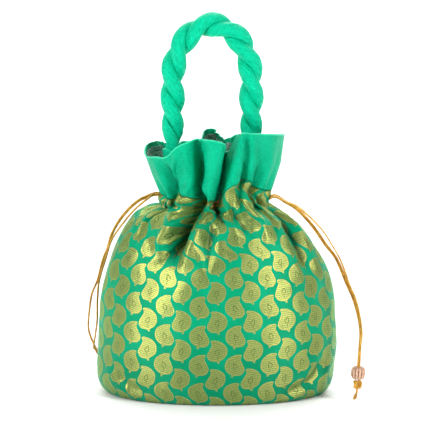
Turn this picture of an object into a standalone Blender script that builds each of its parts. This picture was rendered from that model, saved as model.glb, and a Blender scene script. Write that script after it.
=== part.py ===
"""A gathered brocade gift sack: an oval stiffened base, a lined two-panel body, a frilled mouth drawn in by two
cords that leave the channel at opposite sides, and a carrying handle of two stuffed fabric strands twisted together.

Metres, +Z up, front of the sack towards -Y. The origin is on the table, under the middle of the sack.
"""

import math

import bmesh
import bpy
from mathutils import Matrix, Vector

# Cloth walls and the gaps between neighbours
CLOTH = 0.0008
LINING_CLOTH = 0.0006
GAP = 0.0004
SEAM_HALF_GAP = 0.0008
LINING_INSET = 0.0017

# Body outline, from the table up: height, half width, half depth, sideways shift of the middle
OUTLINE = [
    (0.000, 0.0905, 0.0560, -0.0020),
    (0.004, 0.0950, 0.0592, -0.0025),
    (0.014, 0.0982, 0.0612, -0.0028),
    (0.045, 0.1010, 0.0625, -0.0008),
    (0.078, 0.0998, 0.0615, -0.0010),
    (0.105, 0.0938, 0.0580, -0.0018),
    (0.130, 0.0838, 0.0515, -0.0038),
    (0.148, 0.0745, 0.0440, -0.0052),
    (0.158, 0.0650, 0.0385, -0.0048),
    (0.168, 0.0460, 0.0315, -0.0036),
    (0.180, 0.0462, 0.0325, -0.0036),
    (0.215, 0.0535, 0.0430, -0.0034),
]
PANEL_ROWS = [0.0, 0.004, 0.014, 0.045, 0.078, 0.105, 0.130, 0.148, 0.158, 0.1635, 0.168, 0.1725, 0.180]
LINING_ROWS = [0.0034, 0.014, 0.045, 0.078, 0.105, 0.130, 0.148, 0.158, 0.1635, 0.168, 0.1725, 0.180]
NECK = 0.168
FRILL_SEAM = 0.180
FRILL_TOP = 0.215
FRILL_TOP_SLOPE = 0.009
FRILL_ROWS = 4

# Gathers: folds round the mouth, and how deep they are at each height
FOLDS = 10
STEPS_PER_FOLD = 4
GATHER_START = 0.120
NECK_FOLD_DEPTH = 0.0030
FRILL_FOLD_DEPTH = 0.0060

# Drawstring channel: the lining steps inwards round the neck to leave room for two cords, one above the other
CHANNEL_DEPTH = 0.0032
CHANNEL_HALF_HEIGHT = 0.0095
CORD_RADIUS = 0.0009
CORD_MIDDLE_INSET = 0.0029
LEFT_LOOP_HEIGHT = NECK + 0.0026
RIGHT_LOOP_HEIGHT = NECK
SLOT_WIDTH = 0.0100
SLOT_HEIGHT = 0.0100

# Base: outer cloth, card stiffener and lining, stacked
CARD = 0.0015
OVAL_SEGMENTS = 40

# Handle: two stuffed strands twisted left-handed round an arch
HANDLE_MIDDLE = -0.0055
HANDLE_HALF_SPAN = 0.0332
HANDLE_HINGE = 0.2280
HANDLE_SPRING = 0.2680
HANDLE_ARCH_TOP = 0.3157
STRAND_RADIUS = 0.0050
STRAND_OFFSET = 0.0054
STRAND_HALF_TURNS = 8
STRAND_POINTS = 48
STRAND_PINCH_RADIUS = 0.0030
STRAND_PINCH_OFFSET = 0.0034
STRAND_PINCH_LENGTH = 0.0130
STRAND_WALL = 0.0007
HANDLE_CLEARANCE = 0.0070

# Beads, knots and cord ends
BEAD_RADIUS = 0.0062
BEAD_HALF_LENGTH = 0.0052
BEAD_BORE = 0.0026
KNOT_RADIUS = 0.0032
KNOT_LENGTH = 0.0080
TAIL_RADIUS = 0.0019
STRAIGHT_RUN = 0.0190
STRAND_PAIR_OFFSET = 0.0012
STRAND_SPREAD = 0.0028

# Where each bead sits, and the way its cords run down through it
RIGHT_BEAD = Vector((0.1176, -0.0480, 0.0262))
RIGHT_DOWN = Vector((-0.06, 0.0, -1.0)).normalized()
LEFT_BEAD = Vector((-0.0990, 0.0330, 0.0165))
LEFT_DOWN = Vector((0.34, 0.52, -0.78)).normalized()

# Free stretches of the cords from the channel to the straight run above the bead
RIGHT_OUTER_ROUTE = [
    (0.0574, -0.0045, 0.1650),
    (0.0659, -0.0085, 0.1622),
    (0.0752, -0.0135, 0.1555),
    (0.0863, -0.0190, 0.1449),
    (0.0939, -0.0250, 0.1347),
    (0.1033, -0.0320, 0.1187),
    (0.1101, -0.0380, 0.0999),
    (0.1150, -0.0420, 0.0885),
    (0.1186, -0.0450, 0.0733),
    (0.1200, -0.0475, 0.0600),
]
RIGHT_INNER_ROUTE = [
    (0.0568, 0.0010, 0.1640),
    (0.0645, -0.0030, 0.1600),
    (0.0722, -0.0080, 0.1538),
    (0.0810, -0.0140, 0.1440),
    (0.0905, -0.0200, 0.1310),
    (0.0995, -0.0275, 0.1200),
    (0.1080, -0.0350, 0.1005),
    (0.1135, -0.0393, 0.0885),
    (0.1178, -0.0424, 0.0735),
    (0.1196, -0.0448, 0.0600),
]
LEFT_OUTER_ROUTE = [
    (-0.0693, 0.0012, 0.1640),
    (-0.0812, 0.0012, 0.1520),
    (-0.0900, 0.0018, 0.1378),
    (-0.0945, 0.0026, 0.1236),
    (-0.0986, 0.0034, 0.1130),
    (-0.1030, 0.0044, 0.0963),
    (-0.1075, 0.0066, 0.0854),
    (-0.1098, 0.0102, 0.0745),
    (-0.1118, 0.0175, 0.0512),
]
LEFT_INNER_ROUTE = [
    (-0.0608, -0.0098, 0.1680),
    (-0.0712, -0.0122, 0.1594),
    (-0.0802, -0.0105, 0.1485),
    (-0.0908, -0.0046, 0.1322),
    (-0.0962, -0.0010, 0.1150),
    (-0.1018, 0.0012, 0.0955),
    (-0.1035, 0.0054, 0.0780),
    (-0.1042, 0.0110, 0.0575),
]
CORD_POINT_SPACING = 0.0054


def start_collections():
    """Empties the file and returns one collection for the parts and one for the cutters."""
    for old in list(bpy.data.objects):
        bpy.data.objects.remove(old)
    made = []
    for name in ("fabric_gift_sack", "cutters"):
        collection = bpy.data.collections.new(name)
        bpy.context.scene.collection.children.link(collection)
        made.append(collection)
    return made


def make_material(name, colour, roughness, metallic=0.0):
    material = bpy.data.materials.new(name)
    material.use_nodes = True
    shader = material.node_tree.nodes["Principled BSDF"]
    shader.inputs["Base Color"].default_value = (*colour, 1.0)
    shader.inputs["Roughness"].default_value = roughness
    shader.inputs["Metallic"].default_value = metallic
    return material


PARTS, CUTTERS = start_collections()
BROCADE = make_material("green_gold_brocade", (0.05, 0.45, 0.22), 0.45, 0.2)
SILK = make_material("plain_green_silk", (0.01, 0.55, 0.30), 0.55)
LINING = make_material("dark_green_lining", (0.03, 0.22, 0.14), 0.6)
CARDBOARD = make_material("grey_card", (0.45, 0.42, 0.38), 0.9)
WADDING = make_material("cotton_wadding", (0.85, 0.84, 0.80), 0.95)
GOLD_CORD = make_material("gold_cord", (0.75, 0.45, 0.12), 0.35, 0.6)
PEARL = make_material("pearl_bead", (0.80, 0.62, 0.52), 0.3)


def add_object(name, data, material, collection=None):
    """Links a new object for the mesh or curve and gives it its one material."""
    made = bpy.data.objects.new(name, data)
    (collection or PARTS).objects.link(made)
    if material is not None:
        data.materials.append(material)
    return made


def smooth(mesh):
    """Rounds the shading, and leaves the edges sharper than 40 degrees as they are."""
    mesh.shade_smooth()
    mesh.set_sharp_from_angle(angle=math.radians(40))


def catmull(a, b, c, d, t):
    """A point between b and c on the smooth curve through a, b, c and d; works on numbers and vectors."""
    return 0.5 * (2 * b + (c - a) * t + (2 * a - 5 * b + 4 * c - d) * t * t + (3 * b - a - 3 * c + d) * t**3)


def shared_slope(a, b):
    """Slope at an outline point from the slopes on both sides, so the outline never swings past its points."""
    return 0.0 if a * b <= 0 else 2 * a * b / (a + b)


def outline_at(height):
    """Half width, half depth and sideways shift of the outer cloth at a height."""
    last = len(OUTLINE) - 2
    i = max([k for k in range(last + 1) if OUTLINE[k][0] <= height + 1e-9], default=0)
    low, high = OUTLINE[i], OUTLINE[i + 1]
    before, after = OUTLINE[max(i - 1, 0)], OUTLINE[min(i + 2, last + 1)]
    span = high[0] - low[0]
    t = min(max((height - low[0]) / span, 0.0), 1.0)
    found = []
    for k in (1, 2, 3):
        slope = (high[k] - low[k]) / span
        slope_before = (low[k] - before[k]) / (low[0] - before[0]) if i > 0 else slope
        slope_after = (after[k] - high[k]) / (after[0] - high[0]) if i < last else slope
        start, stop = shared_slope(slope_before, slope), shared_slope(slope, slope_after)
        h00, h10 = 2 * t**3 - 3 * t**2 + 1, t**3 - 2 * t**2 + t
        h01, h11 = -2 * t**3 + 3 * t**2, t**3 - t**2
        found.append(h00 * low[k] + h10 * span * start + h01 * high[k] + h11 * span * stop)
    return found


def fold_depth(height):
    """How far the gathers move the cloth in and out at a height."""
    if height <= NECK:
        share = max(0.0, (height - GATHER_START) / (NECK - GATHER_START))
        return NECK_FOLD_DEPTH * share * share * (3 - 2 * share)
    share = (height - NECK) / (FRILL_TOP - NECK)
    return NECK_FOLD_DEPTH + (FRILL_FOLD_DEPTH - NECK_FOLD_DEPTH) * min(share, 1.0)


def outer_point(angle, height, raised):
    """A point on the outer face of the cloth, for its place in the outline, raised by a frill's slope."""
    half_width, half_depth, shift = outline_at(height)
    outwards = Vector((math.cos(angle) / half_width, math.sin(angle) / half_depth, 0)).normalized()
    push = fold_depth(height) * math.cos(FOLDS * angle)
    x = half_width * math.cos(angle) + shift + outwards.x * push
    y = half_depth * math.sin(angle) + outwards.y * push
    return Vector((x, y, height + raised))


def cloth_point(angle, height, inset, raised=0.0):
    """A point of the cloth at an angle round the sack, set in square to the outer face."""
    here = outer_point(angle, height, raised)
    low, high = max(height - 0.002, 0.0), min(height + 0.002, FRILL_TOP)
    along_height = outer_point(angle, high, 0.0) - outer_point(angle, low, 0.0)
    along_angle = outer_point(angle + 0.03, height, 0.0) - outer_point(angle - 0.03, height, 0.0)
    return here - along_angle.cross(along_height).normalized() * inset


def side_angles(front):
    """Evenly stepped angles over the front or back half, from seam to seam."""
    steps = FOLDS * STEPS_PER_FOLD // 2
    start = math.pi if front else 0.0
    return [start + math.pi * i / steps for i in range(steps + 1)]


def sheet_from_rows(name, rows, thickness, material):
    """An open grid of cloth, given as rows of points from the bottom up, thickened inwards by Solidify."""
    mesh = bpy.data.meshes.new(name)
    across = len(rows[0])
    faces = [
        (r * across + c, r * across + c + 1, (r + 1) * across + c + 1, (r + 1) * across + c)
        for r in range(len(rows) - 1)
        for c in range(across - 1)
    ]
    mesh.from_pydata([p for row in rows for p in row], [], faces)
    smooth(mesh)
    made = add_object(name, mesh, material)
    wall = made.modifiers.new("cloth_thickness", "SOLIDIFY")
    wall.thickness = thickness
    wall.offset = -1.0
    return made


def seam_side(point, front):
    """Pulls a point on a side seam half a gap away from the other half of the sack."""
    if abs(point.y) < SEAM_HALF_GAP:
        point.y = -SEAM_HALF_GAP if front else SEAM_HALF_GAP
    return point


def make_panels():
    """Outer brocade: front and back panels with a slot at each side seam where the cords leave the channel."""
    made = []
    for name, front in (("front_panel", True), ("back_panel", False)):
        rows = [[seam_side(cloth_point(a, z, 0.0), front) for a in side_angles(front)] for z in PANEL_ROWS]
        made.append(sheet_from_rows(name, rows, CLOTH, BROCADE))
    half_width, _, shift = outline_at(NECK)
    for side, height in ((-1, LEFT_LOOP_HEIGHT), (1, RIGHT_LOOP_HEIGHT)):
        block = bmesh.new()
        bmesh.ops.create_cube(block, size=1.0)
        mesh = bpy.data.meshes.new("cord_slot_cutter")
        block.to_mesh(mesh)
        block.free()
        cutter = add_object("cord_slot_cutter", mesh, None, CUTTERS)
        cutter.location = (shift + side * half_width, 0, height)
        cutter.scale = (0.020, SLOT_WIDTH, SLOT_HEIGHT)
        cutter.hide_render = True
        cutter.display_type = "WIRE"
        for panel in made:
            cut = panel.modifiers.new("cord_slot", "BOOLEAN")
            cut.operation = "DIFFERENCE"
            cut.object = cutter


def channel_step(height):
    """Extra inset of the lining round the neck, where it forms the drawstring channel."""
    away = abs(height - NECK) / CHANNEL_HALF_HEIGHT
    if away >= 1:
        return 0.0
    return CHANNEL_DEPTH * min(1.0, 2.2 * (1 - away))


def make_linings():
    """Inner lining: two panels that hang inside the brocade and step in round the channel."""
    for name, front in (("front_lining", True), ("back_lining", False)):
        rows = [
            [seam_side(cloth_point(a, z, LINING_INSET + channel_step(z)), front) for a in side_angles(front)]
            for z in LINING_ROWS
        ]
        sheet_from_rows(name, rows, LINING_CLOTH, LINING)


def make_frills():
    """The plain silk frill above the channel, and the facing that backs it, each in two halves."""
    for layer, inset, thickness, material in (
        ("frill", 0.0, CLOTH, SILK),
        ("frill_facing", LINING_INSET, LINING_CLOTH, LINING),
    ):
        for side, front in (("front", True), ("back", False)):
            rows = []
            for r in range(FRILL_ROWS):
                share = r / (FRILL_ROWS - 1)
                height = FRILL_SEAM + 2 * GAP + (FRILL_TOP - FRILL_SEAM - 2 * GAP) * share
                rows.append([
                    seam_side(cloth_point(a, height, inset, FRILL_TOP_SLOPE * math.cos(a) * share), front)
                    for a in side_angles(front)
                ])
            sheet_from_rows(f"{side}_{layer}", rows, thickness, material)


def make_oval(name, half_width, half_depth, shift, bottom, thickness, material):
    """A flat oval plate."""
    mesh = bpy.data.meshes.new(name)
    plate = bmesh.new()
    bmesh.ops.create_cone(
        plate, cap_ends=True, segments=OVAL_SEGMENTS, radius1=1.0, radius2=1.0, depth=thickness
    )
    bmesh.ops.scale(plate, vec=(half_width, half_depth, 1.0), verts=plate.verts)
    plate.to_mesh(mesh)
    plate.free()
    made = add_object(name, mesh, material)
    made.location = (shift, 0, bottom + thickness / 2)
    return made


def make_base():
    """Base panel of brocade, card stiffener above it, and the lining's floor on top."""
    half_width, half_depth, shift = outline_at(0.0)
    inside = CLOTH + 2 * GAP
    make_oval("base_panel", half_width - inside, half_depth - inside, shift, 0.0, CLOTH, BROCADE)
    card_bottom = CLOTH + GAP
    card_in = inside + 0.002
    make_oval("base_card", half_width - card_in, half_depth - card_in, shift, card_bottom, CARD, CARDBOARD)
    floor_bottom = card_bottom + CARD + GAP
    floor_in = LINING_INSET + LINING_CLOTH + 2 * GAP - 0.003
    make_oval("base_lining", half_width - floor_in, half_depth - floor_in, shift, floor_bottom, LINING_CLOTH, LINING)


def loop_points(side, height):
    """A cord's way round inside the channel, from one edge of its side slot to the other."""
    steps = FOLDS * STEPS_PER_FOLD
    start = 0.0 if side > 0 else math.pi
    made = []
    for i in range(1, steps):
        made.append(cloth_point(start + 2 * math.pi * i / steps, height, CORD_MIDDLE_INSET))
    return made


def make_tube(name, points, radius, material, resolution=2, radii=None, caps=True):
    """A round tube along a poly line; radii are shares of the radius at each point."""
    curve = bpy.data.curves.new(name, "CURVE")
    curve.dimensions = "3D"
    curve.bevel_depth = radius
    curve.bevel_resolution = resolution
    curve.use_fill_caps = caps
    spline = curve.splines.new("POLY")
    spline.points.add(len(points) - 1)
    for i, (point, target) in enumerate(zip(points, spline.points)):
        target.co = (*point, 1.0)
        target.radius = radii[i] if radii else 1.0
    return add_object(name, curve, material)


def resampled(points, spacing):
    """Points about spacing apart on the smooth curve through the route's own points."""
    fine = []
    for i in range(len(points) - 1):
        a, d = points[max(i - 1, 0)], points[min(i + 2, len(points) - 1)]
        fine += [catmull(a, points[i], points[i + 1], d, t / 12) for t in range(12)]
    fine.append(points[-1])
    total = sum((q - p).length for p, q in zip(fine, fine[1:]))
    count = max(4, round(total / spacing))
    made, walked, wanted = [fine[0]], 0.0, total / count
    for p, q in zip(fine, fine[1:]):
        step = (q - p).length
        while walked + step >= wanted - 1e-9 and len(made) < count:
            made.append(p.lerp(q, (wanted - walked) / step))
            wanted += total / count
        walked += step
    return made + [fine[-1]]


def knot_top(bead, down):
    """The middle of the knot's upper end, just under the bead."""
    return bead + down * (BEAD_HALF_LENGTH + GAP)


def make_drawstrings():
    """Each drawstring: its loop in the channel, and two free strands that leave by the slot and share one bead."""
    make_tube("left_cord_loop", loop_points(-1, LEFT_LOOP_HEIGHT), CORD_RADIUS, GOLD_CORD)
    make_tube("right_cord_loop", loop_points(1, RIGHT_LOOP_HEIGHT), CORD_RADIUS, GOLD_CORD)
    plans = (
        ("right_outer_cord", 1, -1, RIGHT_LOOP_HEIGHT, RIGHT_OUTER_ROUTE, RIGHT_BEAD, RIGHT_DOWN),
        ("right_inner_cord", 1, 1, RIGHT_LOOP_HEIGHT, RIGHT_INNER_ROUTE, RIGHT_BEAD, RIGHT_DOWN),
        ("left_outer_cord", -1, 1, LEFT_LOOP_HEIGHT, LEFT_OUTER_ROUTE, LEFT_BEAD, LEFT_DOWN),
        ("left_inner_cord", -1, -1, LEFT_LOOP_HEIGHT, LEFT_INNER_ROUTE, LEFT_BEAD, LEFT_DOWN),
    )
    for name, side, across, height, route, bead, down in plans:
        start = cloth_point(0.0 if side > 0 else math.pi, height, CORD_MIDDLE_INSET)
        leave = cloth_point(0.0 if side > 0 else math.pi, height, -CORD_MIDDLE_INSET)
        start.y = leave.y = across * STRAND_SPREAD
        apart = down.cross(Vector((1, 0, 0))).normalized() * STRAND_PAIR_OFFSET * across
        if apart.y * across < 0:
            apart.negate()
        end = knot_top(bead, down) - down * GAP + apart
        middle = bead + apart
        top = bead - down * (BEAD_HALF_LENGTH + STRAIGHT_RUN) + apart
        points = resampled([start, leave, *map(Vector, route), top, middle, end], CORD_POINT_SPACING)
        make_tube(name, points, CORD_RADIUS, GOLD_CORD)


def along(down):
    """Rotation that turns -Z to the way down a pair of strands."""
    return Vector((0, 0, -1)).rotation_difference(down).to_matrix().to_4x4()


def make_bead(name, bead, down):
    """A turned bead with a bore: a profile spun by a Screw modifier."""
    profile = [(BEAD_BORE, BEAD_HALF_LENGTH)]
    steps = 8
    waist = 0.55
    for i in range(steps + 1):
        angle = math.pi / 2 - math.pi * i / steps
        radius = BEAD_BORE + 0.0006 + (BEAD_RADIUS - BEAD_BORE - 0.0006) * max(0.0, math.cos(angle)) ** waist
        profile.append((radius, BEAD_HALF_LENGTH * math.sin(angle)))
    profile.append((BEAD_BORE, -BEAD_HALF_LENGTH))
    mesh = bpy.data.meshes.new(name)
    count = len(profile)
    mesh.from_pydata([(r, 0, z) for r, z in profile], [(i, (i + 1) % count) for i in range(count)], [])
    made = add_object(name, mesh, PEARL)
    spin = made.modifiers.new("turned", "SCREW")
    spin.axis = "Z"
    spin.steps = 20
    spin.render_steps = 20
    spin.use_merge_vertices = True
    spin.merge_threshold = 0.00001
    spin.use_smooth_shade = True
    made.matrix_world = Matrix.Translation(bead) @ along(down)
    return made


def make_knot(name, bead, down):
    """The stopper knot, a rounded barrel under the bead."""
    mesh = bpy.data.meshes.new(name)
    barrel = bmesh.new()
    bmesh.ops.create_cone(
        barrel, cap_ends=True, segments=14, radius1=KNOT_RADIUS, radius2=KNOT_RADIUS, depth=KNOT_LENGTH
    )
    barrel.to_mesh(mesh)
    barrel.free()
    made = add_object(name, mesh, GOLD_CORD)
    rounded = made.modifiers.new("rounded_ends", "BEVEL")
    rounded.width = 0.0011
    rounded.segments = 2
    rounded.limit_method = "ANGLE"
    centre = knot_top(bead, down) + down * (KNOT_LENGTH / 2 + GAP)
    made.matrix_world = Matrix.Translation(centre) @ along(down)
    return made


def make_pendants():
    """Bead, knot and loose cord end at the bottom of each drawstring."""
    for side, bead, down, flat in (
        ("right", RIGHT_BEAD, RIGHT_DOWN, Vector((-0.0020, -0.0010, -0.0050))),
        ("left", LEFT_BEAD, LEFT_DOWN, Vector((0.0050, 0.0075, -0.0010))),
    ):
        make_bead(f"{side}_bead", bead, down)
        make_knot(f"{side}_knot", bead, down)
        start = knot_top(bead, down) + down * (KNOT_LENGTH + 3 * GAP)
        bend = start + down * 0.0025
        end = bend + flat
        end.z = max(end.z, TAIL_RADIUS + 3 * GAP)
        make_tube(f"{side}_cord_end", resampled([start, bend, end], 0.003), TAIL_RADIUS, GOLD_CORD)


def handle_frames():
    """Points along the handle's middle line with the directions across it, from the left hinge to the right one."""
    leg = HANDLE_SPRING - HANDLE_HINGE
    rise = HANDLE_ARCH_TOP - HANDLE_SPRING
    fine = [Vector((-HANDLE_HALF_SPAN, 0, -leg + leg * i / 40)) for i in range(40)]
    for i in range(161):
        turn = math.pi * i / 160
        fine.append(Vector((-HANDLE_HALF_SPAN * math.cos(turn), 0, rise * math.sin(turn))))
    fine += [Vector((HANDLE_HALF_SPAN, 0, -leg * i / 40)) for i in range(1, 41)]
    middle = Vector((HANDLE_MIDDLE, 0, HANDLE_SPRING))
    total = sum((q - p).length for p, q in zip(fine, fine[1:]))
    made, walked, k = [], 0.0, 0
    for i in range(STRAND_POINTS + 1):
        wanted = total * i / STRAND_POINTS
        while k < len(fine) - 2 and walked + (fine[k + 1] - fine[k]).length < wanted:
            walked += (fine[k + 1] - fine[k]).length
            k += 1
        step = (fine[k + 1] - fine[k]).length
        point = fine[k].lerp(fine[k + 1], min(1.0, (wanted - walked) / step))
        forwards = (fine[k + 1] - fine[k]).normalized()
        across = forwards.cross(Vector((0, 1, 0))).normalized()
        made.append((point + middle, across, wanted, total))
    return made


def make_handle():
    """Two stuffed strands, each a sewn fabric tube round a cotton core, twisted together over the arch."""
    frames = handle_frames()
    front = Vector((0, 1, 0))
    for name, phase in (("a", 0.0), ("b", math.pi)):
        points, shares = [], []
        for point, across, walked, total in frames:
            turn = phase + math.pi * STRAND_HALF_TURNS * walked / total
            near_end = min(walked, total - walked) / STRAND_PINCH_LENGTH
            ease = min(1.0, near_end)
            ease = ease * ease * (3 - 2 * ease)
            offset = STRAND_PINCH_OFFSET + (STRAND_OFFSET - STRAND_PINCH_OFFSET) * ease
            radius = STRAND_PINCH_RADIUS + (STRAND_RADIUS - STRAND_PINCH_RADIUS) * ease
            points.append(point + (across * math.cos(turn) + front * math.sin(turn)) * offset)
            shares.append(radius / STRAND_RADIUS)
        points[0].z += GAP
        points[-1].z += GAP
        tube = make_tube(f"handle_strand_{name}", points, STRAND_RADIUS, SILK, radii=shares, caps=False)
        mesh = bpy.data.meshes.new_from_object(tube.evaluated_get(bpy.context.evaluated_depsgraph_get()))
        bpy.data.objects.remove(tube)
        smooth(mesh)
        cover = bpy.data.objects.new(f"handle_strand_{name}", mesh)
        PARTS.objects.link(cover)
        wall = cover.modifiers.new("cloth_thickness", "SOLIDIFY")
        wall.thickness = STRAND_WALL
        wall.offset = -1.0
        inner = [(s * STRAND_RADIUS - STRAND_WALL - 2 * GAP) / STRAND_RADIUS for s in shares]
        make_tube(f"handle_core_{name}", points[1:-1], STRAND_RADIUS, WADDING, 1, inner[1:-1])


def make_handle_roots():
    """The sewn-in feet of the handle: each runs from just under the hinge down to a flat tab inside the channel."""
    half_width, _, shift = outline_at(NECK)
    inside = half_width - NECK_FOLD_DEPTH - LINING_INSET - CHANNEL_DEPTH - LINING_CLOTH
    for name, side in (("left_handle_root", -1), ("right_handle_root", 1)):
        top_x = HANDLE_MIDDLE + side * HANDLE_HALF_SPAN
        tab_x = shift + side * (inside - 0.0062)
        levels = (
            (HANDLE_HINGE - HANDLE_CLEARANCE, top_x, 0.0085, 0.0070),
            (HANDLE_HINGE - 0.018, top_x, 0.0080, 0.0085),
            (HANDLE_HINGE - 0.036, top_x * 0.5 + tab_x * 0.5, 0.0055, 0.0090),
            (NECK + 0.012, tab_x, 0.0024, 0.0085),
            (NECK - 0.009, tab_x, 0.0018, 0.0085),
        )
        ring = 14
        points = [
            (x + thick * math.cos(2 * math.pi * k / ring), wide * math.sin(2 * math.pi * k / ring), z)
            for z, x, thick, wide in levels
            for k in range(ring)
        ]
        faces = [
            (r * ring + k, (r + 1) * ring + k, (r + 1) * ring + (k + 1) % ring, r * ring + (k + 1) % ring)
            for r in range(len(levels) - 1)
            for k in range(ring)
        ]
        faces.append(tuple(range(ring)))
        faces.append(tuple(range(len(levels) * ring - 1, (len(levels) - 1) * ring - 1, -1)))
        mesh = bpy.data.meshes.new(name)
        mesh.from_pydata(points, [], faces)
        smooth(mesh)
        add_object(name, mesh, SILK)


make_panels()
make_linings()
make_frills()
make_base()
make_drawstrings()
make_pendants()
make_handle()
make_handle_roots()
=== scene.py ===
"""Looks of the fabric gift sack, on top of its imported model: brocade body, silk frill, cords, beads and handle."""

import math

import bmesh
import bpy
import numpy as np
from mathutils import Matrix, Vector, noise


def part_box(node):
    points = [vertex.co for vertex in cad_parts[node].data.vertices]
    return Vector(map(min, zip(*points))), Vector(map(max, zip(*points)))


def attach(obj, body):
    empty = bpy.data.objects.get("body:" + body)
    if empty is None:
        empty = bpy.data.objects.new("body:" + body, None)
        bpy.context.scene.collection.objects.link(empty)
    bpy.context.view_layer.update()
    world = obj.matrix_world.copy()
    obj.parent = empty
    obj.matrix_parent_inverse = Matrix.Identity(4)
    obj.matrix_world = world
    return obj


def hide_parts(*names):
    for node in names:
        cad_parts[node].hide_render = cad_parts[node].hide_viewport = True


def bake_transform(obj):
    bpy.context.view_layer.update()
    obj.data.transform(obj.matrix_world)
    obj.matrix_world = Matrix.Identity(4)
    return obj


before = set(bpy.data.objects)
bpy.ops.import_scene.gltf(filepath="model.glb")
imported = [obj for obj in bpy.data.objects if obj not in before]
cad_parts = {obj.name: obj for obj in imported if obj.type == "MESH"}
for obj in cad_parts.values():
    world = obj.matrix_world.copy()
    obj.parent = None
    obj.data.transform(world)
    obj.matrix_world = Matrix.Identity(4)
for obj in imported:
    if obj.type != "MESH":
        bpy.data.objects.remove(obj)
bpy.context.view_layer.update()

# ------------------------------------------------------------------------------------------------------------------
# The table, the lights and the camera: white paper, a tall soft light to each side in front of the sack, broad ones
# above it and behind it, and a long lens that looks slightly down on the sack from the front.

TABLE_RADIUS = 9.0
LOOKED_AT = (-0.0030, 0.0, 0.1528)
LOOKING_DOWN = math.radians(10.0)
CAMERA_DISTANCE = 3.045
LENS = 300.0


class Value:
    """A number worked out at each point of a surface; arithmetic on it adds Math nodes to its finish."""

    def __init__(self, finish, socket):
        self.finish = finish
        self.socket = socket

    def maths(self, operation, *others):
        return self.finish.node("ShaderNodeMath", {"operation": operation}, dict(enumerate((self, *others))))

    def __add__(self, other):
        return self.maths("ADD", other)

    __radd__ = __add__

    def __mul__(self, other):
        return self.maths("MULTIPLY", other)

    def __sub__(self, other):
        return self.maths("SUBTRACT", other)

    def __rsub__(self, other):
        return self.finish.node("ShaderNodeMath", {"operation": "SUBTRACT"}, {0: other, 1: self})

    def __truediv__(self, other):
        return self.maths("DIVIDE", other)

    def ramped(self, low, high):
        """0 below low and 1 above high, with a soft step between; falls instead where low is the larger."""
        settings = {"interpolation_type": "SMOOTHSTEP"}
        ends = {1: low, 2: high, 3: 0.0, 4: 1.0}
        if low > high:
            ends = {1: high, 2: low, 3: 1.0, 4: 0.0}
        return self.finish.node("ShaderNodeMapRange", settings, {0: self, **ends})


class Nodes:
    """A tree of shader nodes, with one way to add to it."""

    def __init__(self, tree):
        self.tree = tree

    def put(self, socket, value):
        if isinstance(value, Value):
            self.tree.links.new(value.socket, socket)
        elif socket.type == "RGBA" and len(value) == 3:
            socket.default_value = (*value, 1.0)
        else:
            socket.default_value = value

    def node(self, kind, settings=None, inputs=None, output=0):
        """Adds a node: its settings first, then the values or links of its sockets."""
        made = self.tree.nodes.new(kind)
        for key, value in (settings or {}).items():
            if key == "curve":
                points = made.mapping.curves[0].points
                for place, height in value[1:-1]:
                    points.new(place, height)
                points[0].location, points[-1].location = value[0], value[-1]
                made.mapping.update()
            else:
                setattr(made, key, value)
        for key, value in (inputs or {}).items():
            self.put(made.inputs[key], value)
        return Value(self, made.outputs[output])

    def parts_of(self, place):
        """The x and y of a vector."""
        made = self.tree.nodes.new("ShaderNodeSeparateXYZ")
        self.put(made.inputs[0], place)
        return Value(self, made.outputs[0]), Value(self, made.outputs[1])


class Finish(Nodes):
    """One material: its Principled shader, and the nodes that feed it."""

    def __init__(self, name, **fixed):
        self.material = bpy.data.materials.new(name)
        self.material.use_nodes = True
        super().__init__(self.material.node_tree)
        self.shader = self.tree.nodes["Principled BSDF"]
        self.feed(**fixed)

    def feed(self, **sockets):
        """Sets or links the shader's sockets, whose names are written with underscores."""
        for name, value in sockets.items():
            self.put(self.shader.inputs[name.replace("_", " ")], value)

    def mixed(self, share, first, second):
        """The colour first, turning into second as share goes from 0 to 1."""
        return self.node("ShaderNodeMix", {"data_type": "RGBA"}, {0: share, 6: first, 7: second}, output=2)

    def noise(self, place, scale, detail=2.0, roughness=0.5):
        return self.node(
            "ShaderNodeTexNoise", {}, {"Vector": place, "Scale": scale, "Detail": detail, "Roughness": roughness}
        )

    def solid_noise(self, scale, detail=2.0, roughness=0.5):
        """Noise by the point's place in the piece, in metres."""
        return self.noise(self.node("ShaderNodeTexCoord", output="Object"), scale, detail, roughness)

    def stored(self, name):
        """A value stored at the mesh's own points."""
        return self.node("ShaderNodeAttribute", {"attribute_name": name}, output="Fac")

    def flat_noise(self, x, y, detail=2.0, roughness=0.5):
        """Noise by two coordinates."""
        return self.noise(self.node("ShaderNodeCombineXYZ", {}, {0: x, 1: y}), 1.0, detail, roughness)

    def cloth_place(self, along=1.0, across=1.0):
        """The point's place on the flat cloth, in millimetres, with each direction stretched as asked."""
        flat = self.node("ShaderNodeUVMap", {"uv_map": "cloth"})
        scale = (1000.0 * along, 1000.0 * across, 1.0)
        return self.node("ShaderNodeVectorMath", {"operation": "MULTIPLY"}, {0: flat, 1: scale})

    def raise_by(self, height, distance):
        """Bumps the surface by a height from 0 to 1, times a distance in metres."""
        self.feed(Normal=self.node("ShaderNodeBump", {}, {"Height": height, "Distance": distance, "Strength": 1.0}))


def add_piece(name, data, finish=None):
    """Links a new object with its one finish."""
    made = bpy.data.objects.new(name, data)
    bpy.context.scene.collection.objects.link(made)
    if finish is not None:
        data.materials.append(finish.material)
    return made


PAPER = Finish("white_paper", Base_Color=(0.92, 0.92, 0.92), Roughness=0.9)
PAPER.feed(Base_Color=PAPER.mixed(PAPER.noise(PAPER.node("ShaderNodeNewGeometry"), 40.0), (0.91,) * 3, (0.94,) * 3))


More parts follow.
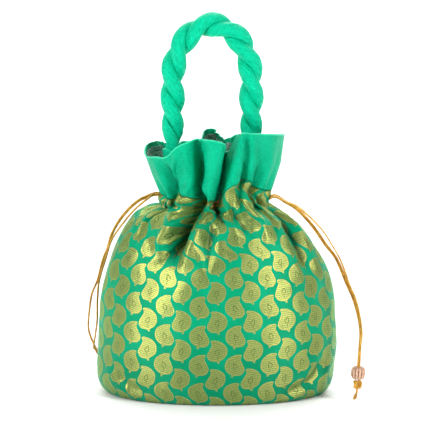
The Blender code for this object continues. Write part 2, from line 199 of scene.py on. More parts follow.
def make_table():
    """A wide round table top under white paper."""
    turn = np.linspace(0, 2 * math.pi, 65)[:-1]
    rim = [(TABLE_RADIUS * math.cos(a), TABLE_RADIUS * math.sin(a), -0.0002) for a in turn]
    mesh = bpy.data.meshes.new("paper_table")
    mesh.from_pydata(rim, [], [tuple(range(64))])
    add_piece("paper_table", mesh, PAPER)


def add_light(name, place, target, width, height, watts):
    """A soft light that is not seen itself, turned to face its target."""
    light = bpy.data.lights.new(name, "AREA")
    light.shape = "RECTANGLE"
    light.size = width
    light.size_y = height
    light.energy = watts
    made = bpy.data.objects.new(name, light)
    bpy.context.scene.collection.objects.link(made)
    made.location = place
    made.rotation_euler = (Vector(target) - Vector(place)).to_track_quat("-Z", "Y").to_euler()
    made.visible_camera = False


make_table()
add_light("left_softbox", (-0.96, -0.88, 0.56), (0, 0, 0.14), 0.26, 1.1, 16.5)
add_light("right_softbox", (0.92, -0.84, 0.54), (0, 0, 0.14), 0.24, 1.1, 13.5)
add_light("overhead", (0.0, 0.10, 1.6), (0, 0.15, 0), 1.6, 1.0, 9.0)
add_light("paper_light", (0.0, 3.0, 2.6), (0, 2.8, 0), 5.0, 3.0, 260.0)

world = bpy.data.worlds.new("room")
world.use_nodes = True
bpy.context.scene.world = world
room = Nodes(world.node_tree)
_, behind = room.parts_of(room.node("ShaderNodeTexCoord"))
room.put(world.node_tree.nodes["Background"].inputs["Strength"], 0.05 + behind.ramped(-0.75, 0.35) * 0.34)
world.node_tree.nodes["Background"].inputs["Color"].default_value = (1.0, 1.0, 1.0, 1.0)
bpy.context.scene.view_settings.view_transform = "Standard"

lens = bpy.data.cameras.new("camera")
lens.lens = LENS
lens.sensor_width = 36.0
camera = bpy.data.objects.new("camera", lens)
bpy.context.scene.collection.objects.link(camera)
bpy.context.scene.camera = camera
back_off = Vector((0, -math.cos(LOOKING_DOWN), math.sin(LOOKING_DOWN)))
camera.location = Vector(LOOKED_AT) + back_off * CAMERA_DISTANCE
camera.rotation_euler = (-back_off).to_track_quat("-Z", "Y").to_euler()

# ------------------------------------------------------------------------------------------------------------------
# Drawstrings: two flat ribbed cords of gold viscose over cotton. Each leaves the channel at its own side as two
# strands, which run together through one bead; a knot below the bead holds it, and the cut ends fray.

CORD_WIDTH = 0.0031
CORD_THICKNESS = 0.0013
STRAND_STEP = 0.0012

CORD_GOLD = Finish("ribbed_gold_cord", Metallic=0.55, Roughness=0.38)
along_cord, round_cord = CORD_GOLD.parts_of(CORD_GOLD.cloth_place())
rib = ((along_cord + (round_cord * 0.9).maths("PINGPONG", 1.45) * 0.8) * (2 * math.pi / 0.95)).maths("SINE")
rib = rib * 0.5 + 0.5
cord_shade = CORD_GOLD.noise(CORD_GOLD.cloth_place(0.18, 0.5), 1.0)
CORD_GOLD.feed(
    Base_Color=CORD_GOLD.mixed(
        rib * 0.75 + cord_shade.ramped(0.38, 0.66) * 0.35, (0.24, 0.075, 0.006), (1.0, 0.56, 0.09)
    ),
    Roughness=0.48 - rib * 0.14,
)
CORD_GOLD.raise_by(rib, 0.00022)


def smooth_line(route, step):
    """Points about step apart on the smooth curve through a route's points."""
    route = [Vector(p) for p in route]
    fine = []
    for i in range(len(route) - 1):
        a, b = route[max(i - 1, 0)], route[i]
        c, d = route[i + 1], route[min(i + 2, len(route) - 1)]
        for k in range(12):
            t = k / 12
            fine.append(
                0.5 * (2 * b + (c - a) * t + (2 * a - 5 * b + 4 * c - d) * t * t + (3 * b - a - 3 * c + d) * t**3)
            )
    fine.append(route[-1])
    walked = np.concatenate([[0], np.cumsum([(q - p).length for p, q in zip(fine, fine[1:])])])
    count = max(4, round(walked[-1] / step))
    wanted = np.linspace(0, walked[-1], count + 1)
    spread = np.array([tuple(p) for p in fine])
    return np.stack([np.interp(wanted, walked, spread[:, k]) for k in range(3)], axis=1)


def unit(vectors):
    """The same directions, each of length one."""
    return vectors / np.maximum(np.linalg.norm(vectors, axis=-1, keepdims=True), 1e-12)


def distance_along(line):
    """How far along a line of points each one is."""
    return np.concatenate([[0], np.cumsum(np.linalg.norm(np.diff(line, axis=0), axis=1))])


def ring_faces(rings, around, closed=False):
    """Faces between rings of points; the last ring joins the first where the form is closed."""
    return [
        (a + k, a + (k + 1) % around, b + (k + 1) % around, b + k)
        for a, b in ((r * around, (r + 1) % rings * around) for r in range(rings if closed else rings - 1))
        for k in range(around)
    ]


def carried_frames(line, first_side):
    """Directions along a line, and one across it carried along without twisting."""
    ahead = unit(np.gradient(line, axis=0))
    side = np.array(first_side, float)
    sides = []
    for t in ahead:
        side = unit(side - t * (side @ t))
        sides.append(side)
    return ahead, np.array(sides)


def tube_mesh(name, line, sides, ahead, section, turns=None, scales=None, closed=False):
    """A tube whose cross-section is a ring of (across, up) points; its UVs are its length and girth in metres."""
    line, ups = np.asarray(line), np.cross(ahead, sides)
    ring = np.asarray(section, float)
    n, m = len(line), len(ring)
    turns = np.zeros(n) if turns is None else turns
    scales = np.ones(n) if scales is None else scales
    across = ring[None, :, 0] * np.cos(turns)[:, None] - ring[None, :, 1] * np.sin(turns)[:, None]
    up = ring[None, :, 0] * np.sin(turns)[:, None] + ring[None, :, 1] * np.cos(turns)[:, None]
    points = line[:, None] + (sides[:, None] * across[..., None] + ups[:, None] * up[..., None]) * scales[:, None, None]
    faces = ring_faces(n, m, closed)
    if not closed:
        faces += [tuple(range(m - 1, -1, -1)), tuple((n - 1) * m + k for k in range(m))]
    mesh = bpy.data.meshes.new(name)
    mesh.from_pydata(points.reshape(-1, 3).tolist(), [], faces)
    walked = distance_along(line)
    girth = distance_along(np.vstack([ring, ring[:1]]))
    uv = mesh.uv_layers.new(name="cloth")
    flat = []
    for i in range(len(faces) // m):
        ends = (walked[i], walked[i + 1] if i + 1 < n else walked[i] + (walked[1] - walked[0]))
        for k in range(m):
            flat += [(ends[0], girth[k]), (ends[0], girth[k + 1]), (ends[1], girth[k + 1]), (ends[1], girth[k])]
    if not closed:
        flat += [(0.0, 0.0)] * (2 * m)
    uv.data.foreach_set("uv", np.array(flat, np.float32).ravel())
    mesh.shade_smooth()
    return mesh


def flat_section(width, thickness):
    """A flat cord's cross-section: a rounded bar with a shallow groove down each face."""
    ring = []
    for k in range(16):
        a = 2 * math.pi * k / 16
        x = math.copysign(abs(math.cos(a)) ** 0.55, math.cos(a)) * width / 2
        y = math.copysign(abs(math.sin(a)) ** 0.7, math.sin(a)) * thickness / 2
        groove = 0.30 if k in (4, 12) else 0.0
        ring.append((x, y * (1 - groove)))
    return ring


def round_section(radius, count):
    """A round cross-section."""
    return [(radius * math.cos(a), radius * math.sin(a)) for a in np.linspace(0, 2 * math.pi, count + 1)[:-1]]


# Each strand's turn of the flat cord at its two ends, in radians, and its route from the channel to the bead.
STRANDS = {
    "right_outer_cord": (
        (0.4, -1.6),
        [
            (0.0426, -0.0028, 0.1671), (0.0482, -0.0028, 0.1689), (0.0574, -0.0045, 0.1650),
            (0.0659, -0.0085, 0.1622), (0.0752, -0.0135, 0.1555), (0.0863, -0.0190, 0.1449),
            (0.0939, -0.0250, 0.1347), (0.1033, -0.0320, 0.1187), (0.1101, -0.0380, 0.0999),
            (0.1150, -0.0420, 0.0885), (0.1186, -0.0450, 0.0733), (0.1200, -0.0475, 0.0600),
            (0.1190, -0.0492, 0.0504), (0.1176, -0.0492, 0.0262), (0.1173, -0.0492, 0.0210),
        ],
    ),
    "right_inner_cord": (
        (1.2, 0.2),
        [
            (0.0426, 0.0028, 0.1671), (0.0482, 0.0028, 0.1689), (0.0568, 0.0010, 0.1640),
            (0.0645, -0.0030, 0.1600), (0.0722, -0.0080, 0.1538), (0.0810, -0.0140, 0.1440),
            (0.0905, -0.0200, 0.1310), (0.0995, -0.0275, 0.1200), (0.1080, -0.0350, 0.1005),
            (0.1135, -0.0393, 0.0885), (0.1178, -0.0424, 0.0735), (0.1196, -0.0448, 0.0600),
            (0.1190, -0.0468, 0.0504), (0.1176, -0.0468, 0.0262), (0.1173, -0.0468, 0.0210),
        ],
    ),
    "left_outer_cord": (
        (1.3, -0.2),
        [
            (-0.0499, 0.0028, 0.1708), (-0.0557, 0.0028, 0.1704), (-0.0693, 0.0012, 0.1640),
            (-0.0812, 0.0012, 0.1520), (-0.0900, 0.0018, 0.1378), (-0.0945, 0.0026, 0.1236),
            (-0.0986, 0.0034, 0.1130), (-0.1030, 0.0044, 0.0963), (-0.1075, 0.0066, 0.0854),
            (-0.1098, 0.0102, 0.0745), (-0.1118, 0.0175, 0.0512), (-0.1073, 0.0214, 0.0361),
            (-0.1061, 0.0233, 0.0333), (-0.0990, 0.0340, 0.0172), (-0.0972, 0.0367, 0.0131),
        ],
    ),
    "left_inner_cord": (
        (0.9, 0.3),
        [
            (-0.0499, -0.0028, 0.1708), (-0.0557, -0.0028, 0.1704), (-0.0608, -0.0098, 0.1680),
            (-0.0712, -0.0122, 0.1594), (-0.0802, -0.0105, 0.1485), (-0.0908, -0.0046, 0.1322),
            (-0.0962, -0.0010, 0.1150), (-0.1018, 0.0012, 0.0955), (-0.1035, 0.0054, 0.0780),
            (-0.1042, 0.0110, 0.0575), (-0.1073, 0.0194, 0.0348), (-0.1061, 0.0213, 0.0320),
            (-0.0990, 0.0320, 0.0158), (-0.0972, 0.0347, 0.0118),
        ],
    ),
}

strand_pieces = {}
for name, (turn_ends, route) in STRANDS.items():
    line = smooth_line(route, STRAND_STEP)
    ahead, sides = carried_frames(line, (0, 1, 0))
    turns = np.linspace(turn_ends[0], turn_ends[1], len(line))
    mesh = tube_mesh(name, line, sides, ahead, flat_section(CORD_WIDTH, CORD_THICKNESS), turns)
    piece = add_piece(f"{name}_ribbed", mesh, CORD_GOLD)
    strand_pieces[name] = (piece, line)
    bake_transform(piece)
    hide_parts(name)

# ------------------------------------------------------------------------------------------------------------------
# Pearl beads: one on each drawstring, a ribbed melon bead of bronze glass with a pearl lustre. Both strands of the
# cord run through its bore, tightly enough for the bead to stay where it is pushed.

BEAD_RADIUS = 0.0062
BEAD_HALF_LENGTH = 0.0052
BEAD_BORE = 0.0029
BEAD_RIBS = 13
BEAD_GROOVE = 0.0010

PEARL = Finish("pearl_bead_glass", Coat_Weight=0.4, Coat_Roughness=0.12, Specular_IOR_Level=0.5)
pearl_cloud = PEARL.solid_noise(260.0, 3.0)
# Painted shade: the bead is painted darker and more metallic in the grooves between its lobes, and a little at its ends
# and in the bore.
pearl_groove_shade = PEARL.stored("groove")
PEARL.feed(
    Base_Color=PEARL.mixed(
        (pearl_groove_shade * 1.1 + pearl_cloud.ramped(0.55, 0.75) * 0.5).maths("MINIMUM", 1.0),
        (0.62, 0.36, 0.23),
        (0.040, 0.014, 0.005),
    ),
    Metallic=0.25 + pearl_groove_shade * 0.3,
    Roughness=0.22 + pearl_cloud * 0.15,
)
PEARL.raise_by(pearl_cloud, 0.0001)

BEADS = {
    "right": (Vector((0.1176, -0.0480, 0.0262)), Vector((-0.06, 0, -1)).normalized()),
    "left": (Vector((-0.0990, 0.0330, 0.0165)), Vector((0.34, 0.52, -0.78)).normalized()),
}


def seated(place, down):
    """Turns a form's own Z to run down the cord, and moves the form to its place on it."""
    return Matrix.Translation(place) @ down.to_track_quat("Z", "Y").to_matrix().to_4x4()


def add_bead(side, centre, down):
    """A melon bead: rounded lobes round a bore, whose edge rolls in at each end."""
    profile = []
    for k in range(15):
        a = math.pi * (k / 14 - 0.5)
        radius = BEAD_BORE + 0.0004 + (BEAD_RADIUS - BEAD_BORE - 0.0004) * math.cos(a) ** 0.85
        profile.append((radius, BEAD_HALF_LENGTH * math.sin(a), math.cos(a)))
    profile += [(BEAD_BORE, BEAD_HALF_LENGTH * 0.86, 0), (BEAD_BORE, 0, 0), (BEAD_BORE, -BEAD_HALF_LENGTH * 0.86, 0)]
    around = BEAD_RIBS * 8
    points, groove_shades = [], []
    for radius, height, lobe in profile:
        for k in range(around):
            a = 2 * math.pi * k / around
            dip = (1 - abs(math.sin(BEAD_RIBS * a / 2))) ** 2.2
            far = radius - BEAD_GROOVE * lobe * dip
            points.append((far * math.cos(a), far * math.sin(a), height))
            # Painted shade: how dark each point is painted, most in the grooves and a little towards the bore.
            groove_shades.append(min(1.0, dip * lobe * 1.3 + 0.25 * (1 - lobe)))
    mesh = bpy.data.meshes.new(f"{side}_bead_ribbed")
    mesh.from_pydata(points, [], ring_faces(len(profile), around, closed=True))
    mesh.attributes.new("groove", "FLOAT", "POINT").data.foreach_set("value", groove_shades)
    mesh.transform(seated(centre, down))
    mesh.shade_smooth()
    bead = add_piece(f"{side}_bead_ribbed", mesh, PEARL)
    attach(bead, f"{side}_bead")
    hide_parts(f"{side}_bead")
    return bead


# ------------------------------------------------------------------------------------------------------------------
# Knots and cut ends: below its bead each cord is tied in one overhand knot, which keeps the bead on. The viscose
# binding unravels past the knot, so the cut end is a small spray of gold fibres round a cotton core.

KNOT_LENGTH = 0.0086
KNOT_TOP = 0.0056


def add_knot(side, centre, down):
    """An overhand knot drawn as a trefoil of cord, pulled tight."""
    turns = np.linspace(0, 2 * math.pi, 73)[:-1]
    ring = np.stack(
        [np.sin(turns) + 2 * np.sin(2 * turns), np.cos(turns) - 2 * np.cos(2 * turns), -1.6 * np.sin(3 * turns)], axis=1
    )
    ring *= np.array([0.00102, 0.00102, 0.00150])
    ahead = unit(np.roll(ring, -1, axis=0) - np.roll(ring, 1, axis=0))
    sides = unit(ring - (ring * ahead).sum(axis=1, keepdims=True) * ahead)
    mesh = tube_mesh(f"{side}_knot_tied", ring, sides, ahead, flat_section(0.0022, 0.0029), closed=True)
    mesh.transform(seated(centre + down * (KNOT_TOP + KNOT_LENGTH / 2), down))
    knot = add_piece(f"{side}_knot_tied", mesh, CORD_GOLD)
    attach(knot, f"{side}_pull")
    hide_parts(f"{side}_knot")
    return knot


def add_frayed_end(side, centre, down, lie):
    """A spray of loose fibres round the last few millimetres of cord."""
    start = centre + down * (KNOT_TOP + KNOT_LENGTH - 0.0012)
    bend = centre + down * (KNOT_TOP + KNOT_LENGTH + 0.0037)
    end = bend + Vector(lie)
    picked = np.random.default_rng(7 if side == "left" else 11)
    verts, faces, flat = [], [], []
    for k in range(22):
        spread = picked.normal(0, 1, 3) * (0.00045 if k < 4 else 0.00125)
        reach = 1.0 if k < 4 else picked.uniform(0.55, 0.98)
        tip = bend.lerp(end, reach) + Vector(spread)
        tip.z = max(tip.z, 0.0014)
        middle = bend + Vector(spread) * 0.45
        middle.z = max(middle.z, 0.0016)
        line = smooth_line([start + Vector(spread) * 0.2, middle, tip], 0.0007)
        ahead, sides = carried_frames(line, (0.2, 1, 0.1))
        thick = 0.00085 if k < 4 else 0.00034
        part = tube_mesh("fibre", line, sides, ahead, round_section(thick, 6), scales=np.linspace(1.1, 0.55, len(line)))
        base = len(verts)
        verts += [tuple(v.co) for v in part.vertices]
        faces += [tuple(base + i for i in p.vertices) for p in part.polygons]
        flat += [tuple(d.uv) for d in part.uv_layers["cloth"].data]
        bpy.data.meshes.remove(part)
    mesh = bpy.data.meshes.new(f"{side}_cord_end_frayed")
    mesh.from_pydata(verts, [], faces)
    mesh.uv_layers.new(name="cloth").data.foreach_set("uv", np.array(flat, np.float32).ravel())
    mesh.shade_smooth()
    spray = add_piece(f"{side}_cord_end_frayed", mesh, CORD_GOLD)
    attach(spray, f"{side}_pull")
    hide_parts(f"{side}_cord_end")
    return spray


for side, lie in (("right", (-0.0020, -0.0010, -0.0050)), ("left", (0.0050, 0.0075, -0.0010))):
    centre, down = BEADS[side]
    fitted = [add_bead(side, centre, down), add_knot(side, centre, down), add_frayed_end(side, centre, down, lie)]
    for strand in (f"{side}_outer_cord", f"{side}_inner_cord"):
        piece, line = strand_pieces[strand]

# ------------------------------------------------------------------------------------------------------------------
# The sack's cloth: two panels of brocade sewn up the sides, gathered at the neck by the drawstrings, with a frill
# sewn on above. It is cut, set in its folds at the neck, then let fill out and settle as one tube of cloth.

OUTLINE = np.array([
    (0.000, 0.0905, 0.0560, -0.0020), (0.004, 0.0950, 0.0592, -0.0025), (0.014, 0.0982, 0.0612, -0.0028),
    (0.045, 0.1010, 0.0625, -0.0008), (0.078, 0.0998, 0.0615, -0.0010), (0.105, 0.0938, 0.0580, -0.0018),
    (0.130, 0.0838, 0.0515, -0.0038), (0.148, 0.0745, 0.0440, -0.0052), (0.158, 0.0650, 0.0385, -0.0048),
    (0.168, 0.0460, 0.0315, -0.0036), (0.180, 0.0462, 0.0325, -0.0036), (0.215, 0.0598, 0.0470, -0.0034),
])
NECK = 0.168
FRILL_SEAM = 0.180
CLOTH_STEP = 0.0034
HALF_COLUMNS = 84
COLUMNS = 2 * HALF_COLUMNS
BODY_ROUND = 0.529
NECK_ROUND = 0.490
FRILL_ROUND = 0.525
FRILL_ROWS = 12
FRILL_TALL = 0.035
FRILL_LEFT_END = (-0.0500, -0.0570, -0.0630)
FRILL_RIGHT_END = (0.0455, 0.0530, 0.0560)
SETTLING_SIZE = 10.0
SETTLING_FRAMES = 26
CREASE_STEP = 0.0015
CORD_CLEARANCE = 0.0024
CORD_PRESS_REACH = 0.0075
# Painted shade in the folds: how many neighbours on each side to average, how broadly, and the depth in metres at which
# the shade is full.
FOLD_SHADE_REACH = 7
FOLD_SHADE_SPREAD = 4.5
FOLD_SHADE_FULL = 0.0035


def outline_at(heights):
    """Half width, half depth and sideways shift of the sack at each height, eased between the set heights."""
    at = OUTLINE[:, 0]
    place = np.clip(np.searchsorted(at, heights) - 1, 0, len(at) - 2)
    gap = np.diff(at)
    t = (heights - at[place]) / gap[place]
    found = []
    for values in OUTLINE[:, 1:].T:
        rise = np.diff(values) / gap
        slope = np.concatenate([rise[:1], np.zeros(len(at) - 2), rise[-1:]])
        for i in range(1, len(at) - 1):
            if rise[i - 1] * rise[i] > 0:
                slope[i] = 2 * rise[i - 1] * rise[i] / (rise[i - 1] + rise[i])
        found.append(
            (2 * t**3 - 3 * t**2 + 1) * values[place]
            + (t**3 - 2 * t**2 + t) * gap[place] * slope[place]
            + (3 * t**2 - 2 * t**3) * values[place + 1]
            + (t**3 - t**2) * gap[place] * slope[place + 1]
        )
    return found


def eased(low, high, value):
    """0 at low and 1 at high, with a soft step between."""
    t = np.clip((value - low) / (high - low), 0, 1)
    return t * t * (3 - 2 * t)


# Folds below the neck: share of the way across at the neck, share at its foot, height of its foot, depth in
# millimetres, and its half width at the neck and at its foot as shares. Then the frill's: share at the seam and at
# the edge, depth in millimetres at the seam, half way up and at the edge, and half width at the seam and the edge.
FRONT_FOLDS = [
    (0.035, 0.030, 0.142, 3.0, 0.020, 0.020), (0.105, 0.075, 0.130, 5.0, 0.026, 0.022),
    (0.211, 0.165, 0.134, 6.5, 0.030, 0.025), (0.300, 0.270, 0.147, 3.5, 0.022, 0.020),
    (0.390, 0.300, 0.116, 13.0, 0.028, 0.022), (0.470, 0.470, 0.150, 4.5, 0.024, 0.020),
    (0.540, 0.550, 0.150, 7.0, 0.026, 0.022), (0.625, 0.635, 0.147, 4.0, 0.022, 0.020),
    (0.690, 0.710, 0.142, 5.5, 0.026, 0.022), (0.791, 0.800, 0.134, 6.0, 0.028, 0.022),
    (0.872, 0.885, 0.092, 6.0, 0.026, 0.018), (0.950, 0.955, 0.136, 3.5, 0.020, 0.020),
]
BACK_FOLDS = [
    (0.045, 0.040, 0.138, 4.0, 0.022, 0.020), (0.125, 0.105, 0.124, 6.0, 0.026, 0.022),
    (0.215, 0.180, 0.138, 5.0, 0.028, 0.022), (0.300, 0.300, 0.112, 8.0, 0.028, 0.020),
    (0.385, 0.370, 0.146, 4.5, 0.024, 0.020), (0.460, 0.470, 0.130, 6.5, 0.028, 0.022),
    (0.545, 0.560, 0.148, 5.0, 0.024, 0.020), (0.625, 0.650, 0.126, 7.0, 0.028, 0.022),
    (0.705, 0.720, 0.142, 4.5, 0.024, 0.020), (0.790, 0.825, 0.118, 7.5, 0.026, 0.020),
    (0.875, 0.890, 0.138, 4.5, 0.024, 0.020), (0.950, 0.955, 0.140, 3.5, 0.020, 0.020),
]
FRONT_FLUTES = [
    (0.105, 0.090, 4.0, 1.2, 0.0, 0.026, 0.035), (0.211, 0.200, 14.0, 8.0, 1.2, 0.028, 0.046),
    (0.300, 0.300, 3.0, 0.8, 0.0, 0.020, 0.030), (0.378, 0.400, 19.0, 17.0, 5.0, 0.026, 0.036),
    (0.445, 0.450, 2.0, 1.0, 0.0, 0.016, 0.030), (0.510, 0.605, 21.0, 22.0, 17.0, 0.038, 0.032),
    (0.690, 0.680, 9.0, 4.5, 3.0, 0.020, 0.020), (0.800, 0.760, 9.0, 3.5, 1.0, 0.030, 0.060),
    (0.900, 0.910, 4.0, 1.2, 0.0, 0.025, 0.040),
]
BACK_FLUTES = [
    (0.080, 0.080, 5.0, 1.5, 0.0, 0.028, 0.036), (0.200, 0.210, 10.0, 7.0, 4.0, 0.030, 0.045),
    (0.330, 0.325, 9.0, 6.0, 3.0, 0.030, 0.042), (0.450, 0.440, 10.0, 11.0, 8.0, 0.030, 0.036),
    (0.590, 0.600, 10.0, 10.0, 8.0, 0.030, 0.040), (0.730, 0.735, 10.0, 8.0, 5.0, 0.032, 0.048),
    (0.870, 0.875, 5.0, 2.0, 1.0, 0.028, 0.040),
]
FRONT_EDGE = [
    (0.00, 0.2066), (0.05, 0.2036), (0.16, 0.2080), (0.22, 0.2190), (0.31, 0.2240), (0.41, 0.2232), (0.47, 0.2165),
    (0.53, 0.2100), (0.60, 0.2080), (0.63, 0.2110), (0.66, 0.2215), (0.70, 0.2270), (0.76, 0.2286), (0.86, 0.2263),
    (1.00, 0.2220),
]
BACK_EDGE = [
    (0.00, 0.2210), (0.10, 0.2170), (0.25, 0.2130), (0.42, 0.2140), (0.49, 0.2200), (0.56, 0.2190), (0.64, 0.2110),
    (0.80, 0.2100), (0.90, 0.2130), (0.96, 0.2115), (1.00, 0.2066),
]
FRONT_SEAM = [
    (0.00, 0.172), (0.06, 0.171), (0.15, 0.168), (0.211, 0.180), (0.29, 0.168), (0.378, 0.178), (0.43, 0.166),
    (0.51, 0.171), (0.575, 0.163), (0.62, 0.169), (0.66, 0.180), (0.70, 0.184), (0.791, 0.188), (0.86, 0.180),
    (0.93, 0.176), (1.00, 0.174),
]
BACK_SEAM = [(0.00, 0.175), (0.25, 0.179), (0.50, 0.173), (0.75, 0.177), (1.00, 0.173)]


def neighbour_shares(reach, spread):
    """How much each of a point's neighbours counts in an average, out to a reach on both sides."""
    shares = np.exp(-((np.arange(-reach, reach + 1) / spread) ** 2))
    return shares / shares.sum()


def evened_round(values, reach, spread):
    """Values round a closed ring, each one averaged with its neighbours."""
    padded = np.concatenate([values[-reach:], values, values[:reach]])
    return np.convolve(padded, neighbour_shares(reach, spread), "valid")


# Creases pressed into the front: the line of each as x and height, then its depth and half width.
CREASES = [
    (
        [(-0.017, 0.170), (-0.020, 0.164), (-0.027, 0.155), (-0.034, 0.141), (-0.039, 0.128), (-0.042, 0.116)],
        0.0250, 0.0054,
    ),
    ([(0.044, 0.163), (0.054, 0.152), (0.063, 0.139), (0.069, 0.124), (0.076, 0.108), (0.075, 0.090)], 0.0042, 0.0030),
    ([(-0.040, 0.163), (-0.050, 0.152), (-0.056, 0.140)], 0.0040, 0.0030),
    ([(0.014, 0.161), (0.022, 0.150), (0.026, 0.138)], 0.0045, 0.0032),
    ([(-0.008, 0.166), (0.000, 0.157), (0.008, 0.154), (0.016, 0.157), (0.020, 0.165)], 0.0040, 0.0024),
    ([(0.034, 0.165), (0.030, 0.156), (0.020, 0.148)], 0.0040, 0.0026),
    ([(-0.030, 0.168), (-0.036, 0.160), (-0.038, 0.150)], 0.0035, 0.0024),
    ([(0.088, 0.030), (0.080, 0.018), (0.065, 0.011), (0.045, 0.007)], 0.0042, 0.0032),
    ([(-0.088, 0.024), (-0.076, 0.014), (-0.056, 0.009)], 0.0028, 0.0030),
]


def half_ring(wide, deep, shift, valleys, length, front):
    """Points spaced evenly along half a ring of cloth, its valleys deepened until it is as long as the cloth."""
    turn = np.linspace(math.pi, 2 * math.pi, 721) if front else np.linspace(0, math.pi, 721)
    x, y = wide * np.cos(turn), deep * np.sin(turn)
    walked = distance_along(np.stack([x, y], axis=1))
    share = walked / walked[-1]
    normal = unit(np.stack([np.cos(turn) / wide, np.sin(turn) / deep], axis=1))
    dip = 0 * share
    for at, depth, half_width in valleys:
        dip = dip + depth * 0.001 * np.exp(-(((share - at) / half_width) ** 2))
    least, most = 0.0, 2.4
    for _ in range(22):
        scale = (least + most) / 2
        line = np.stack([x, y], axis=1) - normal * (dip * scale)[:, None]
        along = distance_along(line)
        if along[-1] < length:
            least = scale
        else:
            most = scale
    wanted = np.linspace(0, along[-1], HALF_COLUMNS + 1)[:-1]
    return np.stack([np.interp(wanted, along, line[:, 0]) + shift, np.interp(wanted, along, line[:, 1])], axis=1)


def valleys_at(folds, flutes, height, up_frill):
    """Where each valley is, how deep and how wide, at one height; up_frill goes from 0 at the seam to 1 at the edge."""
    found = []
    held = 1 - eased(NECK, FRILL_SEAM, height)
    for at_neck, at_foot, foot, depth, neck_width, foot_width in folds:
        rise = min(max((height - foot) / (NECK - foot), 0), 1)
        grown = (1 - (1 - rise) ** 2.0) if depth > 5.9 else rise * rise * (3 - 2 * rise)
        if height > foot and held > 0:
            width = foot_width + (neck_width - foot_width) * rise
            found.append((at_foot + (at_neck - at_foot) * rise, depth * grown * held, width))
    started = eased(NECK, FRILL_SEAM, height)
    for at_seam, at_edge, seam, middle, edge, seam_width, edge_width in flutes:
        if started > 0:
            depth = np.interp(up_frill, [0, 0.5, 1], [seam, middle, edge])
            width = seam_width + (edge_width - seam_width) * up_frill
            found.append((at_seam + (at_edge - at_seam) * up_frill, depth * started, width))
    return found


def set_cloth():
    """The cloth as it is first set: its points, its flat place row by row, and the rows of the neck and the seam."""
    fine = np.linspace(0, FRILL_SEAM, 1600)
    wide, deep, _ = outline_at(fine)
    climbed = distance_along(np.stack([(wide + deep) / 2, fine], axis=1))
    body_rows = round(climbed[-1] / CLOTH_STEP)
    up_cloth = np.linspace(0, climbed[-1], body_rows + 1)
    heights = np.interp(up_cloth, climbed, fine)
    neck_row = int(np.argmin(np.abs(heights - NECK)))
    up_cloth = np.concatenate([up_cloth, up_cloth[-1] + CLOTH_STEP * np.arange(1, FRILL_ROWS + 1)])
    rounds = BODY_ROUND + (NECK_ROUND - BODY_ROUND) * eased(0.085, NECK, np.append(heights, [FRILL_SEAM] * FRILL_ROWS))
    rounds += (FRILL_ROUND - NECK_ROUND) * eased(0, 5, np.arange(len(up_cloth)) - body_rows)
    share = np.arange(HALF_COLUMNS) / HALF_COLUMNS
    seam = np.concatenate([np.interp(share, *np.array(t).T) for t in (FRONT_SEAM, BACK_SEAM)])
    edge = np.concatenate([np.interp(share, *np.array(t).T) for t in (FRONT_EDGE, BACK_EDGE)])
    seam, edge = (evened_round(heights_round, 6, 2.0) for heights_round in (seam, edge))
    points = np.zeros((len(up_cloth), COLUMNS, 3))
    for row in range(len(up_cloth)):
        up_frill = max(0.0, (row - body_rows) / FRILL_ROWS)
        height = heights[min(row, body_rows)]
        if up_frill > 0:
            wide, deep, shift = outline_at(np.array([FRILL_SEAM + FRILL_TALL * up_frill**0.55]))
        else:
            wide, deep, shift = outline_at(np.array([height]))
        ring = [
            half_ring(wide[0], deep[0], shift[0], valleys_at(folds, flutes, height, up_frill), rounds[row] / 2, front)
            for folds, flutes, front in ((FRONT_FOLDS, FRONT_FLUTES, True), (BACK_FOLDS, BACK_FLUTES, False))
        ]
        points[row, :, :2] = np.concatenate(ring)
        if up_frill > 0:
            points[row, :, 2] = seam + (edge - seam) * up_frill
        else:
            points[row, :, 2] = height + (seam - FRILL_SEAM) * eased(0.150, FRILL_SEAM, height)
            if height > NECK - 0.002:
                between = np.clip((height - NECK) / (FRILL_SEAM - NECK), 0, 1)
                roll = 0.35 * np.sqrt(np.maximum(0.012**2 - (0.012 + (seam - FRILL_SEAM) * 0.35) ** 2, 0))
                points[row, :, :2] += unit(points[row, :, :2]) * (roll * math.sin(math.pi * between))[:, None]
    return points, up_cloth, rounds, neck_row, body_rows


